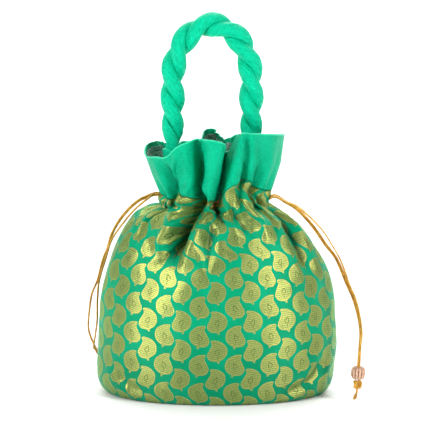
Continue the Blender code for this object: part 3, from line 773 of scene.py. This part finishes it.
def settle_cloth(points, up_cloth, rounds, neck_row, seam_row):
    """Fills the body out and lets the folds fall into place, at ten times life size so that the solver is steady."""
    count = len(up_cloth)
    mesh = bpy.data.meshes.new("settling_cloth")
    mesh.from_pydata((points.reshape(-1, 3) * SETTLING_SIZE).tolist(), [], ring_faces(count, COLUMNS))
    tube = bpy.data.objects.new("settling_cloth", mesh)
    bpy.context.scene.collection.objects.link(tube)
    tube.shape_key_add(name="set")
    turn = 2 * math.pi * np.arange(COLUMNS) / COLUMNS
    rest = np.zeros_like(points)
    rest[..., 0] = rounds[:, None] / (2 * math.pi) * np.cos(turn)
    rest[..., 1] = rounds[:, None] / (2 * math.pi) * np.sin(turn)
    rest[..., 2] = up_cloth[:, None]
    flat = tube.shape_key_add(name="flat")
    flat.data.foreach_set("co", (rest.reshape(-1) * SETTLING_SIZE).astype(np.float32))
    flat.value = 0.0

    def group(name, rows):
        made = tube.vertex_groups.new(name=name)
        made.add([r * COLUMNS + c for r in rows for c in range(COLUMNS)], 1.0, "REPLACE")
        return made

    sewn = group("sewn", [0, *range(neck_row, seam_row + 1)])
    for row in range(seam_row + 1, count):
        sewn.add([row * COLUMNS + c for c in range(COLUMNS)], 0.35, "REPLACE")
    group("filled", range(neck_row - 2))
    group("frill", range(seam_row, count))
    cloth = tube.modifiers.new("settle", "CLOTH")
    how = cloth.settings
    how.quality = 6
    how.mass = 0.15
    how.tension_stiffness = how.compression_stiffness = 15
    how.shear_stiffness = 5
    how.bending_stiffness = 0.6
    how.vertex_group_bending = "frill"
    how.bending_stiffness_max = 9.0
    how.tension_damping = 5
    how.bending_damping = 0.5
    how.vertex_group_mass = "sewn"
    how.rest_shape_key = flat
    how.use_pressure = True
    how.uniform_pressure_force = 3.0
    how.vertex_group_pressure = "filled"
    how.effector_weights.gravity = 0.25
    touch = cloth.collision_settings
    touch.use_collision = False
    touch.use_self_collision = True
    touch.self_distance_min = 0.012
    touch.self_friction = 5
    cloth.point_cache.frame_start = 1
    cloth.point_cache.frame_end = SETTLING_FRAMES
    for step in range(1, SETTLING_FRAMES + 1):
        bpy.context.scene.frame_set(step)
    settled = tube.evaluated_get(bpy.context.evaluated_depsgraph_get()).to_mesh()
    found = np.empty(len(points.reshape(-1)), np.float32)
    settled.vertices.foreach_get("co", found)
    bpy.data.objects.remove(tube)
    bpy.context.scene.frame_set(1)
    return found.reshape(points.shape).astype(float) / SETTLING_SIZE


def fit_to_outline(points, seam_row):
    """Keeps each height of the body and frill as wide as the sack, and the foot on the table."""
    body = points[: seam_row - 6]
    level = body[..., 2].mean(axis=1)
    want = outline_at(np.clip(level, 0, FRILL_SEAM))
    want[0] = want[0] + 0.0012 * (1 - eased(0.09, 0.14, level)) + 0.0016 * np.exp(-(((level - 0.012) / 0.014) ** 2))
    for axis, half in ((0, want[0]), (1, want[1] + 0.0015)):
        low, high = body[..., axis].min(axis=1), body[..., axis].max(axis=1)
        middle = want[2] if axis == 0 else 0 * half
        scale = 2 * half / (high - low)
        move = middle - (low + high) / 2 * scale
        hold = 1 - eased(0.150, 0.160, level)
        scale = 1 + (scale - 1) * hold
        move = move * hold
        body[..., axis] = body[..., axis] * scale[:, None] + move[:, None]
    for row in range(seam_row, len(points)):
        up = (row - seam_row) / (len(points) - 1 - seam_row)
        left, right = (np.interp(up, [0, 0.5, 1], end) for end in (FRILL_LEFT_END, FRILL_RIGHT_END))
        x = points[row, :, 0]
        points[row, :, 0] = left + (x - x.min()) * ((right - left) / (x.max() - x.min()))
    points[..., 2] = np.maximum(points[..., 2], 0.0)
    return points


def ring_middle(points):
    """The middle of each ring of cloth, seen from above."""
    return points[..., :2].mean(axis=1, keepdims=True)


def press_crease(points, path, depth, half_width):
    """Presses a crease into the front of the body along a path seen from the front, deepest at its upper end."""
    path = smooth_line([(x, 0, z) for x, z in path], CREASE_STEP)[:, (0, 2)]
    seen = points[..., (0, 2)]
    away = np.linalg.norm(seen[:, :, None] - path[None, None], axis=-1)
    nearest = away.argmin(axis=-1)
    along = nearest / (len(path) - 1)
    gap = away.min(axis=-1) / half_width
    push = depth * (np.exp(-(gap**2)) - 0.22 * np.exp(-((gap - 2.1) ** 2) / 0.8)) * (1 - eased(0.55, 1.0, along))
    push = np.where(points[..., 1] < 0, push, 0)
    points[..., :2] -= unit(points[..., :2] - ring_middle(points)) * push[..., None]
    return points


def clear_of_cords(points):
    """Presses the cloth in where a free cord lies on it."""
    for _, line in strand_pieces.values():
        for mark in line[10::2]:
            away = points[..., :2] - mark[:2]
            near = np.linalg.norm(points - mark, axis=-1)
            out = unit(mark[:2])
            proud = (away * out).sum(axis=-1) + CORD_CLEARANCE
            press = np.where(proud > 0, proud, 0) * np.exp(-((near / CORD_PRESS_REACH) ** 2))
            points[..., :2] -= out * press[..., None]
    return points


cloth_points, up_cloth, cloth_rounds, neck_row, seam_row = set_cloth()
cloth_points = settle_cloth(cloth_points, up_cloth, cloth_rounds, neck_row, seam_row)
cloth_points = fit_to_outline(cloth_points, seam_row)
for path, depth, half_width in CREASES:
    cloth_points = press_crease(cloth_points, path, depth, half_width)

# Slack cloth is never quite even: broad, shallow dents and a finer ripple, which fade out at the base and the neck.
for row in range(2, neck_row):
    held = float(eased(0.0, 0.03, cloth_points[row, 0, 2]) * (1 - eased(0.150, 0.166, cloth_points[row, 0, 2])))
    for column in range(COLUMNS):
        point = Vector(cloth_points[row, column])
        dent = 0.0013 * noise.noise(point * 24.0) + 0.0004 * noise.noise(point * 75.0 + Vector((3.0, 1.0, 7.0)))
        away = Vector((point.x, point.y * 1.6, 0)).normalized()
        cloth_points[row, column] += np.array(away) * dent * held

for _ in range(3):
    cloth_points = clear_of_cords(cloth_points)

# Each point's place on the flat cloth: sideways from the middle of its own panel, and up from the base.
columns = np.arange(HALF_COLUMNS + 1) / HALF_COLUMNS - 0.5
cloth_flat = np.stack(np.broadcast_arrays(columns[None] * cloth_rounds[:, None] / 2, up_cloth[:, None]), axis=-1)
front_columns = np.arange(HALF_COLUMNS + 1)
back_columns = np.arange(HALF_COLUMNS, COLUMNS + 1) % COLUMNS
HALVES = (("front", front_columns), ("back", back_columns))


def outward(points):
    """Unit normals of a closed tube of cloth, pointing out of it."""
    across = np.roll(points, -1, axis=1) - np.roll(points, 1, axis=1)
    up = np.gradient(points, axis=0)
    return unit(np.cross(across, up))


def painted_fold_shade_depth(points):
    """How far down in a fold each point lies, from 0 to 1, which sets the painted shade there: cloth shut in by its
    neighbours is painted dark.
    """
    wide = np.pad(points[..., :2], ((0, 0), (FOLD_SHADE_REACH, FOLD_SHADE_REACH), (0, 0)), "reflect", reflect_type="odd")
    shares = neighbour_shares(FOLD_SHADE_REACH, FOLD_SHADE_SPREAD)
    even = sum(wide[:, k : k + points.shape[1]] * share for k, share in enumerate(shares))
    out = unit(points[..., :2] - ring_middle(points))
    return np.clip(((even - points[..., :2]) * out).sum(axis=-1) / FOLD_SHADE_FULL, 0, 1).astype(np.float32)


def grid_mesh(name, points, flat):
    """A sheet of faces through a grid of points, with the flat cloth as its UVs."""
    rows, cols = points.shape[:2]
    corners = [
        (r * cols + c, r * cols + c + 1, (r + 1) * cols + c + 1, (r + 1) * cols + c)
        for r in range(rows - 1)
        for c in range(cols - 1)
    ]
    mesh = bpy.data.meshes.new(name)
    mesh.from_pydata(points.reshape(-1, 3).tolist(), [], corners)
    uv = flat.reshape(-1, 2)[np.array(corners).ravel()]
    mesh.uv_layers.new(name="cloth").data.foreach_set("uv", uv.astype(np.float32).ravel())
    # Painted shade: each point's depth in a fold is stored on the mesh, and the finishes darken the cloth by it.
    mesh.attributes.new("pocket", "FLOAT", "POINT").data.foreach_set("value", painted_fold_shade_depth(points).ravel())
    mesh.shade_smooth()
    return mesh


def thick_cloth(name, points, flat, thickness, finish, smooth=1):
    """A sheet of cloth given its thickness and smoothed, as one finished mesh."""
    piece = add_piece(name, grid_mesh(name, points, flat), finish)
    solid = piece.modifiers.new("thickness", "SOLIDIFY")
    solid.thickness = thickness
    solid.offset = -1.0
    if smooth:
        soft = piece.modifiers.new("smooth", "SUBSURF")
        soft.levels = soft.render_levels = smooth
    done = bpy.data.meshes.new_from_object(piece.evaluated_get(bpy.context.evaluated_depsgraph_get()))
    piece.modifiers.clear()
    rough = piece.data
    piece.data = done
    bpy.data.meshes.remove(rough)
    done.name = name
    return piece


# ------------------------------------------------------------------------------------------------------------------
# Brocade panels, front and back: green satin with small gold leaf figures woven in with metal thread, every other
# column of figures turned over and half a step down. Each panel is cut from the width and sewn up its sides.

CLOTH = 0.0008
FIGURE_WIDE, FIGURE_TALL = 30.0, 24.6


def leaf_figure(finish, x, y, turned):
    """One leaf figure in its own millimetres: how far inside its edge a point is, and its centre leaf and stem."""
    x = x * (-1.0 if turned else 1.0)
    far = (x * x + y * y).maths("SQRT")
    around = y.maths("ARCTAN2", x) / (2 * math.pi) + 0.5
    edge_line = [
        (0.0, 0.650), (0.049, 0.810), (0.101, 0.900), (0.146, 0.905), (0.200, 0.815), (0.240, 0.800), (0.262, 0.930),
        (0.276, 0.955), (0.292, 0.750), (0.348, 0.730), (0.435, 0.755), (0.521, 0.775), (0.571, 0.795), (0.674, 0.810),
        (0.755, 0.880), (0.800, 0.945), (0.826, 0.985), (0.848, 0.730), (0.890, 0.600), (0.944, 0.600), (1.0, 0.650),
    ]
    edge = finish.node("ShaderNodeFloatCurve", {"curve": edge_line}, {"Value": around}) * 10.7
    inside = edge - far
    leaf_x, leaf_y = x * 0.90 - y * 0.42, y * 0.90 + x * 0.42 + 0.4
    leaf_half = (1.0 - (leaf_y / 2.9) * (leaf_y / 2.9)).maths("MAXIMUM", 0.0) * (1.55 - leaf_y * 0.24)
    beyond = (leaf_y.maths("ABSOLUTE") - 2.9).maths("MAXIMUM", 0.0)
    leaf = leaf_half - leaf_x.maths("ABSOLUTE") - beyond * 2.0
    stem_off = (x + 0.2 + (y + 3.0) * 0.10).maths("ABSOLUTE")
    stem = (0.24 - stem_off).ramped(-0.1, 0.12) * (-3.2 - y).ramped(-0.2, 0.2) * (y + 6.4).ramped(-0.2, 0.4) * 0.7
    return inside, leaf, stem


def brocade_finish(name, place):
    """Green satin ground with raised gold leaf figures, drawn at a place in millimetres on the flat cloth, with painted
    shade in the folds and towards the base.
    """
    cloth = Finish(
        name, Specular_IOR_Level=0.32, Specular_Tint=(0.25, 1.0, 0.55), Anisotropic=0.88, Anisotropic_Rotation=0.25
    )
    x, y = cloth.parts_of(place(cloth))
    shake = cloth.flat_noise(x * 0.12, y * 0.12, 1.0) - 0.5
    x, y = x + shake * 0.9, y - shake * 0.7
    inside = leaf = stem = None
    for turned in (False, True):
        own_x = (x + (FIGURE_WIDE / 2 if turned else 0.0)).maths("WRAP", FIGURE_WIDE / 2, -FIGURE_WIDE / 2)
        own_y = (y + (FIGURE_TALL / 2 if turned else 0.0)).maths("WRAP", FIGURE_TALL / 2, -FIGURE_TALL / 2)
        found = leaf_figure(cloth, own_x, own_y, turned)
        if inside is None:
            inside, leaf, stem = found
        else:
            inside, leaf, stem = (a.maths("MAXIMUM", b) for a, b in zip((inside, leaf, stem), found))
    figure = inside.ramped(-0.12, 0.16)
    rim = inside.ramped(0.95, 0.55)
    leaf_line = (0.30 - leaf.maths("ABSOLUTE")).ramped(-0.08, 0.14)
    drawn = leaf_line.maths("MAXIMUM", stem)
    rib = ((y + x * 0.22) * (2 * math.pi / 1.65)).maths("SINE") * 0.5 + 0.5
    rib = rib.ramped(0.05, 0.45) * (1.0 - rim) + rim
    threads = cloth.flat_noise(x * 0.55, y * 3.2, 2.0, 0.6)
    specks = cloth.flat_noise(x * 2.4, y * 2.4, 1.0)
    patches = cloth.flat_noise(x * 0.035, y * 0.035)
    ground = cloth.mixed(threads.ramped(0.3, 0.7), (0.0, 0.185, 0.080), (0.0, 0.300, 0.140))
    ground = cloth.mixed(patches.ramped(0.35, 0.7) * 0.5, ground, (0.0, 0.355, 0.185))
    worn = specks.ramped(0.44, 0.60) * (0.92 - rim * 0.12) + (1.0 - rib) * 0.65
    gold = cloth.mixed(threads.ramped(0.25, 0.75), (0.38, 0.305, 0.062), (0.64, 0.530, 0.140))
    gold = cloth.mixed(worn.maths("MINIMUM", 1.0) * 0.95, gold, (0.010, 0.190, 0.060))
    gold = cloth.mixed(rim * 0.15, gold, (0.58, 0.50, 0.17))
    gold = cloth.mixed(drawn * 0.85, gold, (0.020, 0.045, 0.010))
    metal = figure * (0.92 - worn.maths("MINIMUM", 1.0) * 0.80 - drawn * 0.4)
    # Painted shade: deep in the folds the colour darkens and the metal dulls.
    pocket = cloth.stored("pocket").ramped(0.15, 1.0)
    # Painted shade: the cloth is painted darker towards the base, where less light falls on it, the figures less so.
    painted_low_shade = y.ramped(85.0, -5.0) * (0.34 - figure * 0.14)
    cloth.feed(
        Base_Color=cloth.mixed(
            pocket.maths("MAXIMUM", painted_low_shade) * 0.9, cloth.mixed(figure, ground, gold), (0.0, 0.022, 0.008)
        ),
        Metallic=metal.maths("MAXIMUM", 0.0) * (1.0 - pocket * 0.6),
        Roughness=0.50 - figure * 0.20 + specks * 0.08,
    )
    weave = (x * (2 * math.pi / 0.6)).maths("SINE") * (y * (2 * math.pi / 0.6)).maths("SINE") * 0.06
    cloth.raise_by(figure * (0.55 + rib * 0.45) - drawn * figure * 0.5 + threads * 0.22 + weave, 0.00024)
    return cloth


BROCADE = brocade_finish("gold_figured_brocade", lambda finish: finish.cloth_place())

cloth_normals = outward(cloth_points)
panel_rows = slice(0, seam_row + 1)
for side, picked in HALVES:
    piece = thick_cloth(
        f"{side}_brocade_panel", cloth_points[panel_rows][:, picked], cloth_flat[panel_rows], CLOTH, BROCADE
    )
    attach(piece, "sack")
    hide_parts(f"{side}_panel")

# ------------------------------------------------------------------------------------------------------------------
# Silk frill, front and back: a band of plain slubbed silk sewn to the top of the brocade, which the gathers throw
# into a few deep flutes. Its edge is turned in and pressed, and the brocade's lining cloth faces it inside.

FACING = 0.0006

SILK = Finish("slubbed_green_silk", Specular_IOR_Level=0.30, Specular_Tint=(0.15, 1.0, 0.65))
slub = SILK.noise(SILK.cloth_place(0.22, 2.4), 1.0, 3.0, 0.6)
warp = SILK.noise(SILK.cloth_place(3.0, 0.16), 1.0, 2.0, 0.5)
silk_patch = SILK.noise(SILK.cloth_place(0.06, 0.06), 1.0, 2.0)
silk_thread = slub.ramped(0.34, 0.68) * 0.75 + warp.ramped(0.35, 0.7) * 0.25
# Painted shade: the silk is painted darker deep in its folds.
silk_painted_fold_shade = SILK.stored("pocket").ramped(0.15, 1.0)
silk_green = SILK.mixed(
    silk_patch.ramped(0.3, 0.75) * 0.5,
    SILK.mixed(silk_thread, (0.0, 0.255, 0.115), (0.0, 0.525, 0.280)),
    (0.001, 0.46, 0.25),
)
SILK.feed(
    Base_Color=SILK.mixed(silk_painted_fold_shade * 0.85, silk_green, (0.0, 0.035, 0.014)),
    Roughness=0.52 - silk_thread * 0.14,
)
SILK.raise_by(silk_thread + slub * 0.5, 0.00026)

LINING_CLOTH = Finish("dark_green_lining_cloth", Sheen_Weight=0.2, Sheen_Roughness=0.4)
mottle = LINING_CLOTH.noise(LINING_CLOTH.cloth_place(0.55, 0.55), 1.0, 4.0, 0.7)
fleck = LINING_CLOTH.noise(LINING_CLOTH.cloth_place(1.6, 1.1), 1.0, 2.0, 0.6)
LINING_CLOTH.feed(
    Base_Color=LINING_CLOTH.mixed(
        mottle.ramped(0.42, 0.58) * fleck.ramped(0.36, 0.58), (0.006, 0.090, 0.050), (0.36, 0.47, 0.40)
    ),
    Roughness=0.55 - fleck * 0.1,
)
LINING_CLOTH.raise_by(fleck + mottle * 0.4, 0.00018)

frill_rows = slice(seam_row, len(up_cloth))
facing_points = cloth_points - cloth_normals * (CLOTH + 0.0003)
for side, picked in HALVES:
    outer = thick_cloth(f"{side}_silk_frill", cloth_points[frill_rows][:, picked], cloth_flat[frill_rows], CLOTH, SILK)
    inner = thick_cloth(
        f"{side}_silk_frill_facing",
        facing_points[frill_rows][:-1, picked],
        cloth_flat[frill_rows][:-1],
        FACING,
        LINING_CLOTH,
    )
    tall = float(up_cloth[-1] - up_cloth[seam_row])
    for piece, node, slot in (
        (outer, f"{side}_frill", "plain_green_silk"), (inner, f"{side}_frill_facing", "dark_green_lining")
    ):
        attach(piece, "sack")
        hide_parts(node)

# ------------------------------------------------------------------------------------------------------------------
# Pressed hem: the turned edge of the frill, a double thickness of silk that catches the light as a thin pale line
# all the way round the mouth.

HEM_RADIUS = 0.00075

HEM_SILK = Finish("pressed_silk_hem", Roughness=0.4, Specular_Tint=(0.3, 1.0, 0.7))
hem_thread = HEM_SILK.noise(HEM_SILK.cloth_place(1.2, 3.0), 1.0, 2.0)
# Painted highlight: the hem's silk is painted paler than the frill's, for the thin line of light along its rolled edge.
HEM_SILK.feed(Base_Color=HEM_SILK.mixed(hem_thread.ramped(0.3, 0.7), (0.004, 0.42, 0.20), (0.03, 0.62, 0.36)))
HEM_SILK.raise_by(hem_thread, 0.0001)


def add_hem(side, picked):
    """The rolled edge along one half of the mouth."""
    line = (cloth_points[-1] - cloth_normals[-1] * CLOTH / 2)[picked]
    line = smooth_line(line, 0.0013)
    ahead, sides = carried_frames(line, (0, 0, 1))
    mesh = tube_mesh(f"{side}_frill_hem", line, sides, ahead, round_section(HEM_RADIUS, 8))
    hem = add_piece(f"{side}_frill_hem", mesh, HEM_SILK)
    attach(hem, "sack")


add_hem("front", front_columns)
add_hem("back", back_columns)

# ------------------------------------------------------------------------------------------------------------------
# Lining: a bag of dark green lining cloth inside the brocade, front and back, sewn to it at the neck. Between the
# two, round the neck, a stitched channel carries both drawstrings, each on its own way round.

LINING_INSET = 0.0020

ring_centre = ring_middle(cloth_points)
from_centre = cloth_points[..., :2] - ring_centre
ring_far = np.linalg.norm(from_centre, axis=-1)
ring_way = np.arctan2(from_centre[..., 1], from_centre[..., 0])


def inner_bag(rows):
    """The lining's points: rings that pass just inside the folds of the brocade."""
    half_turn = np.linspace(0, math.pi, HALF_COLUMNS + 1)[:-1]
    turn = np.concatenate([half_turn - math.pi, half_turn])
    spread = np.zeros((rows, COLUMNS, 3))
    for row in range(rows):
        far = np.empty(COLUMNS)
        for k, a in enumerate(turn):
            gap = np.abs((ring_way[row] - a + math.pi) % (2 * math.pi) - math.pi)
            far[k] = ring_far[row][gap < 0.16].min()
        far = np.minimum(evened_round(far, 5, 3.0), far) - LINING_INSET
        far -= 0.0030 * eased(0.125, 0.150, cloth_points[row, :, 2].mean())
        spread[row, :, 0] = ring_centre[row, 0, 0] + far * np.cos(turn)
        spread[row, :, 1] = ring_centre[row, 0, 1] + far * np.sin(turn)
        order = np.argsort(ring_way[row])
        local = np.interp(turn, ring_way[row][order], cloth_points[row, order, 2], period=2 * math.pi)
        local = evened_round(local, 5, 3.0)
        spread[row, :, 2] = np.maximum(local - 0.0035 * eased(0.130, 0.155, local), 0.0040)
    return spread


bag_points = inner_bag(seam_row)
for side, picked in HALVES:
    piece = thick_cloth(
        f"{side}_lining_bag", bag_points[1:][:, picked], cloth_flat[1:seam_row], FACING, LINING_CLOTH, smooth=0
    )
    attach(piece, "sack")
    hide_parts(f"{side}_lining")
    float(up_cloth[seam_row - 1])

# ------------------------------------------------------------------------------------------------------------------
# The drawstrings' loops: the same gold cord, drawn up inside the neck channel. Each goes once round the neck, in and
# out of the gathers that it makes, and its two ends leave by a slit in its own side seam.

OUTSIDE_LINING = 0.0018


def add_loop(side, up, opening_turn):
    """One loop of cord, which lies between the lining and the gathered cloth and stops at its slit."""
    soft = inner_bag(neck_row + 2)[neck_row]
    soft[:, :2] += unit(soft[:, :2] - ring_centre[neck_row]) * OUTSIDE_LINING
    soft[:, 2] = cloth_points[neck_row, :, 2].mean() + up * CLOTH_STEP
    start = int(round(opening_turn / (2 * math.pi) * COLUMNS)) % COLUMNS
    order = (np.arange(2, COLUMNS - 1) + start) % COLUMNS
    line = smooth_line(soft[order], 0.0022)
    ahead, sides = carried_frames(line, (0, 0, 1))
    mesh = tube_mesh(f"{side}_cord_loop_ribbed", line, sides, ahead, flat_section(CORD_WIDTH * 0.8, CORD_THICKNESS))
    loop = add_piece(f"{side}_cord_loop_ribbed", mesh, CORD_GOLD)
    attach(loop, "sack")
    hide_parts(f"{side}_cord_loop")


add_loop("left", 0.8, 0.0)
add_loop("right", 0.0, math.pi)

# ------------------------------------------------------------------------------------------------------------------
# The base: an oval of brocade outside, a stiff grey card above it that makes the sack stand, and an oval of lining
# cloth as the floor inside. The brocade oval is sewn to the foot of both panels.

BASE_BROCADE = brocade_finish(
    "base_brocade",
    lambda finish: finish.node(
        "ShaderNodeVectorMath",
        {"operation": "MULTIPLY"},
        {0: finish.node("ShaderNodeTexCoord", output="Object"), 1: (1000.0, 1000.0, 1.0)},
    ),
)

GREY_CARD = Finish("grey_board", Roughness=0.85)
card_fibre = GREY_CARD.solid_noise(900.0, 4.0, 0.7)
GREY_CARD.feed(Base_Color=GREY_CARD.mixed(card_fibre.ramped(0.35, 0.65), (0.23, 0.225, 0.21), (0.36, 0.35, 0.33)))
GREY_CARD.raise_by(card_fibre, 0.0002)

FLOOR_LINING = Finish("lining_floor_cloth", Roughness=0.55, Sheen_Weight=0.2, Sheen_Roughness=0.4)
floor_mottle = FLOOR_LINING.solid_noise(550.0, 4.0, 0.7)
FLOOR_LINING.feed(
    Base_Color=FLOOR_LINING.mixed(floor_mottle.ramped(0.46, 0.64), (0.006, 0.090, 0.050), (0.20, 0.30, 0.24))
)
FLOOR_LINING.raise_by(floor_mottle, 0.0002)


def refinish(node, finish):
    """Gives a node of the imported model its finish."""
    made = bpy.data.objects[node]
    for place in made.material_slots:
        place.material = finish.material
    if not made.material_slots:
        made.data.materials.append(finish.material)


refinish("base_panel", BASE_BROCADE)
refinish("base_card", GREY_CARD)
refinish("base_lining", FLOOR_LINING)

# ------------------------------------------------------------------------------------------------------------------
# Handle: two tubes of the same silk, each stuffed with a roll of cotton wadding, twisted round each other and bent
# into a hoop. Their ends are pressed flat and sewn inside the neck, behind the frill.

HANDLE_MIDDLE = -0.0055
HANDLE_HALF_SPAN = 0.0332
HANDLE_FOOT = 0.2010
HANDLE_HINGE = 0.2280
HANDLE_SPRING = 0.2680
HANDLE_ARCH_TOP = 0.3157
STRAND_RADIUS = 0.0060
STRAND_OFFSET = 0.0046
HANDLE_HALF_TURNS = 8
TUBE_SIDES = 28
ROOT_TOP, ROOT_FOOT = 0.2100, 0.1600
ROOT_SIDES = 40
ROOT_GIRTH = 0.036

WADDING = Finish("cotton_wadding", Roughness=0.95)
wad_fibre = WADDING.solid_noise(700.0, 4.0, 0.8)
WADDING.feed(Base_Color=WADDING.mixed(wad_fibre.ramped(0.3, 0.7), (0.66, 0.64, 0.60), (0.86, 0.85, 0.82)))
WADDING.raise_by(wad_fibre, 0.0005)
refinish("handle_core_a", WADDING)
refinish("handle_core_b", WADDING)

# Painted light: the handle is the frill's silk, its colour painted lighter to stand in for more light on the hoop.
HANDLE_SILK_PAINTED_LIGHTER = Finish("handle_silk_painted_lighter", Specular_IOR_Level=0.30, Specular_Tint=(0.15, 1.0, 0.65))
handle_slub = HANDLE_SILK_PAINTED_LIGHTER.noise(HANDLE_SILK_PAINTED_LIGHTER.cloth_place(2.2, 0.25), 1.0, 3.0, 0.6)
handle_warp = HANDLE_SILK_PAINTED_LIGHTER.noise(HANDLE_SILK_PAINTED_LIGHTER.cloth_place(0.14, 2.6), 1.0, 2.0, 0.5)
crease = HANDLE_SILK_PAINTED_LIGHTER.noise(HANDLE_SILK_PAINTED_LIGHTER.cloth_place(0.10, 0.42), 1.0, 2.0, 0.55)
handle_thread = handle_slub.ramped(0.34, 0.68) * 0.6 + handle_warp.ramped(0.35, 0.7) * 0.4
HANDLE_SILK_PAINTED_LIGHTER.feed(
    Base_Color=HANDLE_SILK_PAINTED_LIGHTER.mixed(handle_thread, (0.0, 0.335, 0.160), (0.001, 0.650, 0.375)),
    Roughness=0.52 - handle_thread * 0.14,
)
HANDLE_SILK_PAINTED_LIGHTER.raise_by(handle_thread * 0.25 + crease.ramped(0.3, 0.7), 0.0006)


def handle_line():
    """The middle of the hoop, from the left foot over the top to the right foot."""
    rise = HANDLE_ARCH_TOP - HANDLE_SPRING
    left = [(-HANDLE_HALF_SPAN, z) for z in np.linspace(HANDLE_FOOT, HANDLE_SPRING, 60)[:-1]]
    arch = [(-HANDLE_HALF_SPAN * math.cos(a), HANDLE_SPRING + rise * math.sin(a)) for a in np.linspace(0, math.pi, 140)]
    right = [(-x, z) for x, z in reversed(left)]
    return np.array([(HANDLE_MIDDLE + x, 0.0, z) for x, z in left + arch + right])


def sewn_tube(name, points, flat):
    """A grid of points sewn edge to edge into a tube, with both its ends closed."""
    mesh = grid_mesh(name, points, flat)
    welded = bmesh.new()
    welded.from_mesh(mesh)
    bmesh.ops.remove_doubles(welded, verts=welded.verts, dist=1e-6)
    bmesh.ops.holes_fill(welded, edges=[e for e in welded.edges if e.is_boundary], sides=0)
    bmesh.ops.recalc_face_normals(welded, faces=welded.faces)
    welded.to_mesh(mesh)
    welded.free()
    mesh.shade_smooth()
    return mesh


def add_handle_strand(letter, phase):
    """One stuffed tube, which winds round the other and is flat where they press together."""
    line = handle_line()
    walked = distance_along(line)
    total = walked[-1]
    wanted = np.linspace(0, total, 300)
    line = np.stack([np.interp(wanted, walked, line[:, k]) for k in range(3)], axis=1)
    ahead = unit(np.gradient(line, axis=0))
    front = np.array([0.0, 1.0, 0.0])
    across = np.cross(ahead, front)
    hinge_run = HANDLE_HINGE - HANDLE_FOOT
    turn = phase + math.pi * HANDLE_HALF_TURNS * (wanted - hinge_run) / (total - 2 * hinge_run)
    to_end = np.minimum(wanted, total - wanted)
    close = 1 - eased(0.0, 0.045, to_end)
    offset = STRAND_OFFSET * (1 - 0.34 * close)
    away = across * np.cos(turn)[:, None] + front * np.sin(turn)[:, None]
    centre = line + away * offset[:, None]
    path_ahead = unit(np.gradient(centre, axis=0))
    out = unit(away - (away * path_ahead).sum(axis=1, keepdims=True) * path_ahead)
    over = np.cross(path_ahead, out)
    picked = np.random.default_rng(3 if letter == "a" else 5)
    pleats = picked.uniform(0, 2 * math.pi, 5)
    angles = np.linspace(0, 2 * math.pi, TUBE_SIDES + 1)[:-1]
    points = np.zeros((len(line), len(angles), 3))
    for k, a in enumerate(angles):
        wave = sum(
            math.sin((j + 3) * a + pleats[j]) * np.sin(wanted * (90 + 55 * j) + 2 * pleats[j]) for j in range(5)
        )
        plump = STRAND_RADIUS * (1 - 0.30 * close) * (1 + 0.012 * wave)
        plump = plump * (1 + 0.05 * close * np.sin(7 * a + pleats[0] + 40 * wanted))
        reach = np.maximum(plump * math.cos(a), -(offset - 0.00012))
        points[:, k] = centre + out * reach[:, None] + over * (plump * math.sin(a) * 1.06)[:, None]
    closed = np.concatenate([points, points[:, :1]], axis=1)
    along = np.linspace(0, total * 1.12, len(line))
    round_it = np.arange(TUBE_SIDES + 1) / TUBE_SIDES * (2 * math.pi * STRAND_RADIUS)
    flat = np.stack(np.broadcast_arrays(along[:, None], round_it[None]), axis=-1)
    mesh = sewn_tube(f"handle_strand_{letter}_stuffed", closed, flat)
    strand = add_piece(f"handle_strand_{letter}_stuffed", mesh, HANDLE_SILK_PAINTED_LIGHTER)
    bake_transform(strand)
    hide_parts(f"handle_strand_{letter}")


add_handle_strand("a", 0.0)
add_handle_strand("b", math.pi)


def add_handle_root(side, top_x, tab_x):
    """The flattened end of the handle: both tubes pressed together and sewn down inside the neck."""
    levels = np.array([
        (ROOT_FOOT, tab_x, 0.0018, 0.0085), (0.1800, tab_x, 0.0026, 0.0086),
        (0.1920, (top_x + tab_x) / 2, 0.0055, 0.0090), (0.2020, top_x, 0.0080, 0.0080),
        (ROOT_TOP, top_x, 0.0082, 0.0072),
    ])
    heights = np.linspace(ROOT_TOP, ROOT_FOOT, 34)
    points = np.zeros((len(heights), ROOT_SIDES + 1, 3))
    for row, z in enumerate(heights):
        x, half_x, half_y = (np.interp(z, levels[:, 0], levels[:, k]) for k in (1, 2, 3))
        for k in range(ROOT_SIDES + 1):
            a = 2 * math.pi * (k % ROOT_SIDES) / ROOT_SIDES
            pleat = 1 + 0.06 * math.sin(9 * a + 60 * z) + 0.04 * math.sin(5 * a - 90 * z)
            points[row, k] = (x + half_x * pleat * math.cos(a), half_y * pleat * math.sin(a), z)
    round_it = np.arange(ROOT_SIDES + 1) / ROOT_SIDES * ROOT_GIRTH
    flat = np.stack(np.broadcast_arrays(heights[:, None], round_it[None]), axis=-1)
    mesh = sewn_tube(f"{side}_handle_root_sewn", points, flat)
    root = add_piece(f"{side}_handle_root_sewn", mesh, HANDLE_SILK_PAINTED_LIGHTER)
    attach(root, "sack")
    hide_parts(f"{side}_handle_root")


for side in ("left", "right"):
    low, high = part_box(f"{side}_handle_root")
    top_x = HANDLE_MIDDLE + (-HANDLE_HALF_SPAN if side == "left" else HANDLE_HALF_SPAN)
    tab_x = low[0] + 0.0020 if side == "left" else high[0] - 0.0020
    add_handle_root(side, top_x, tab_x)
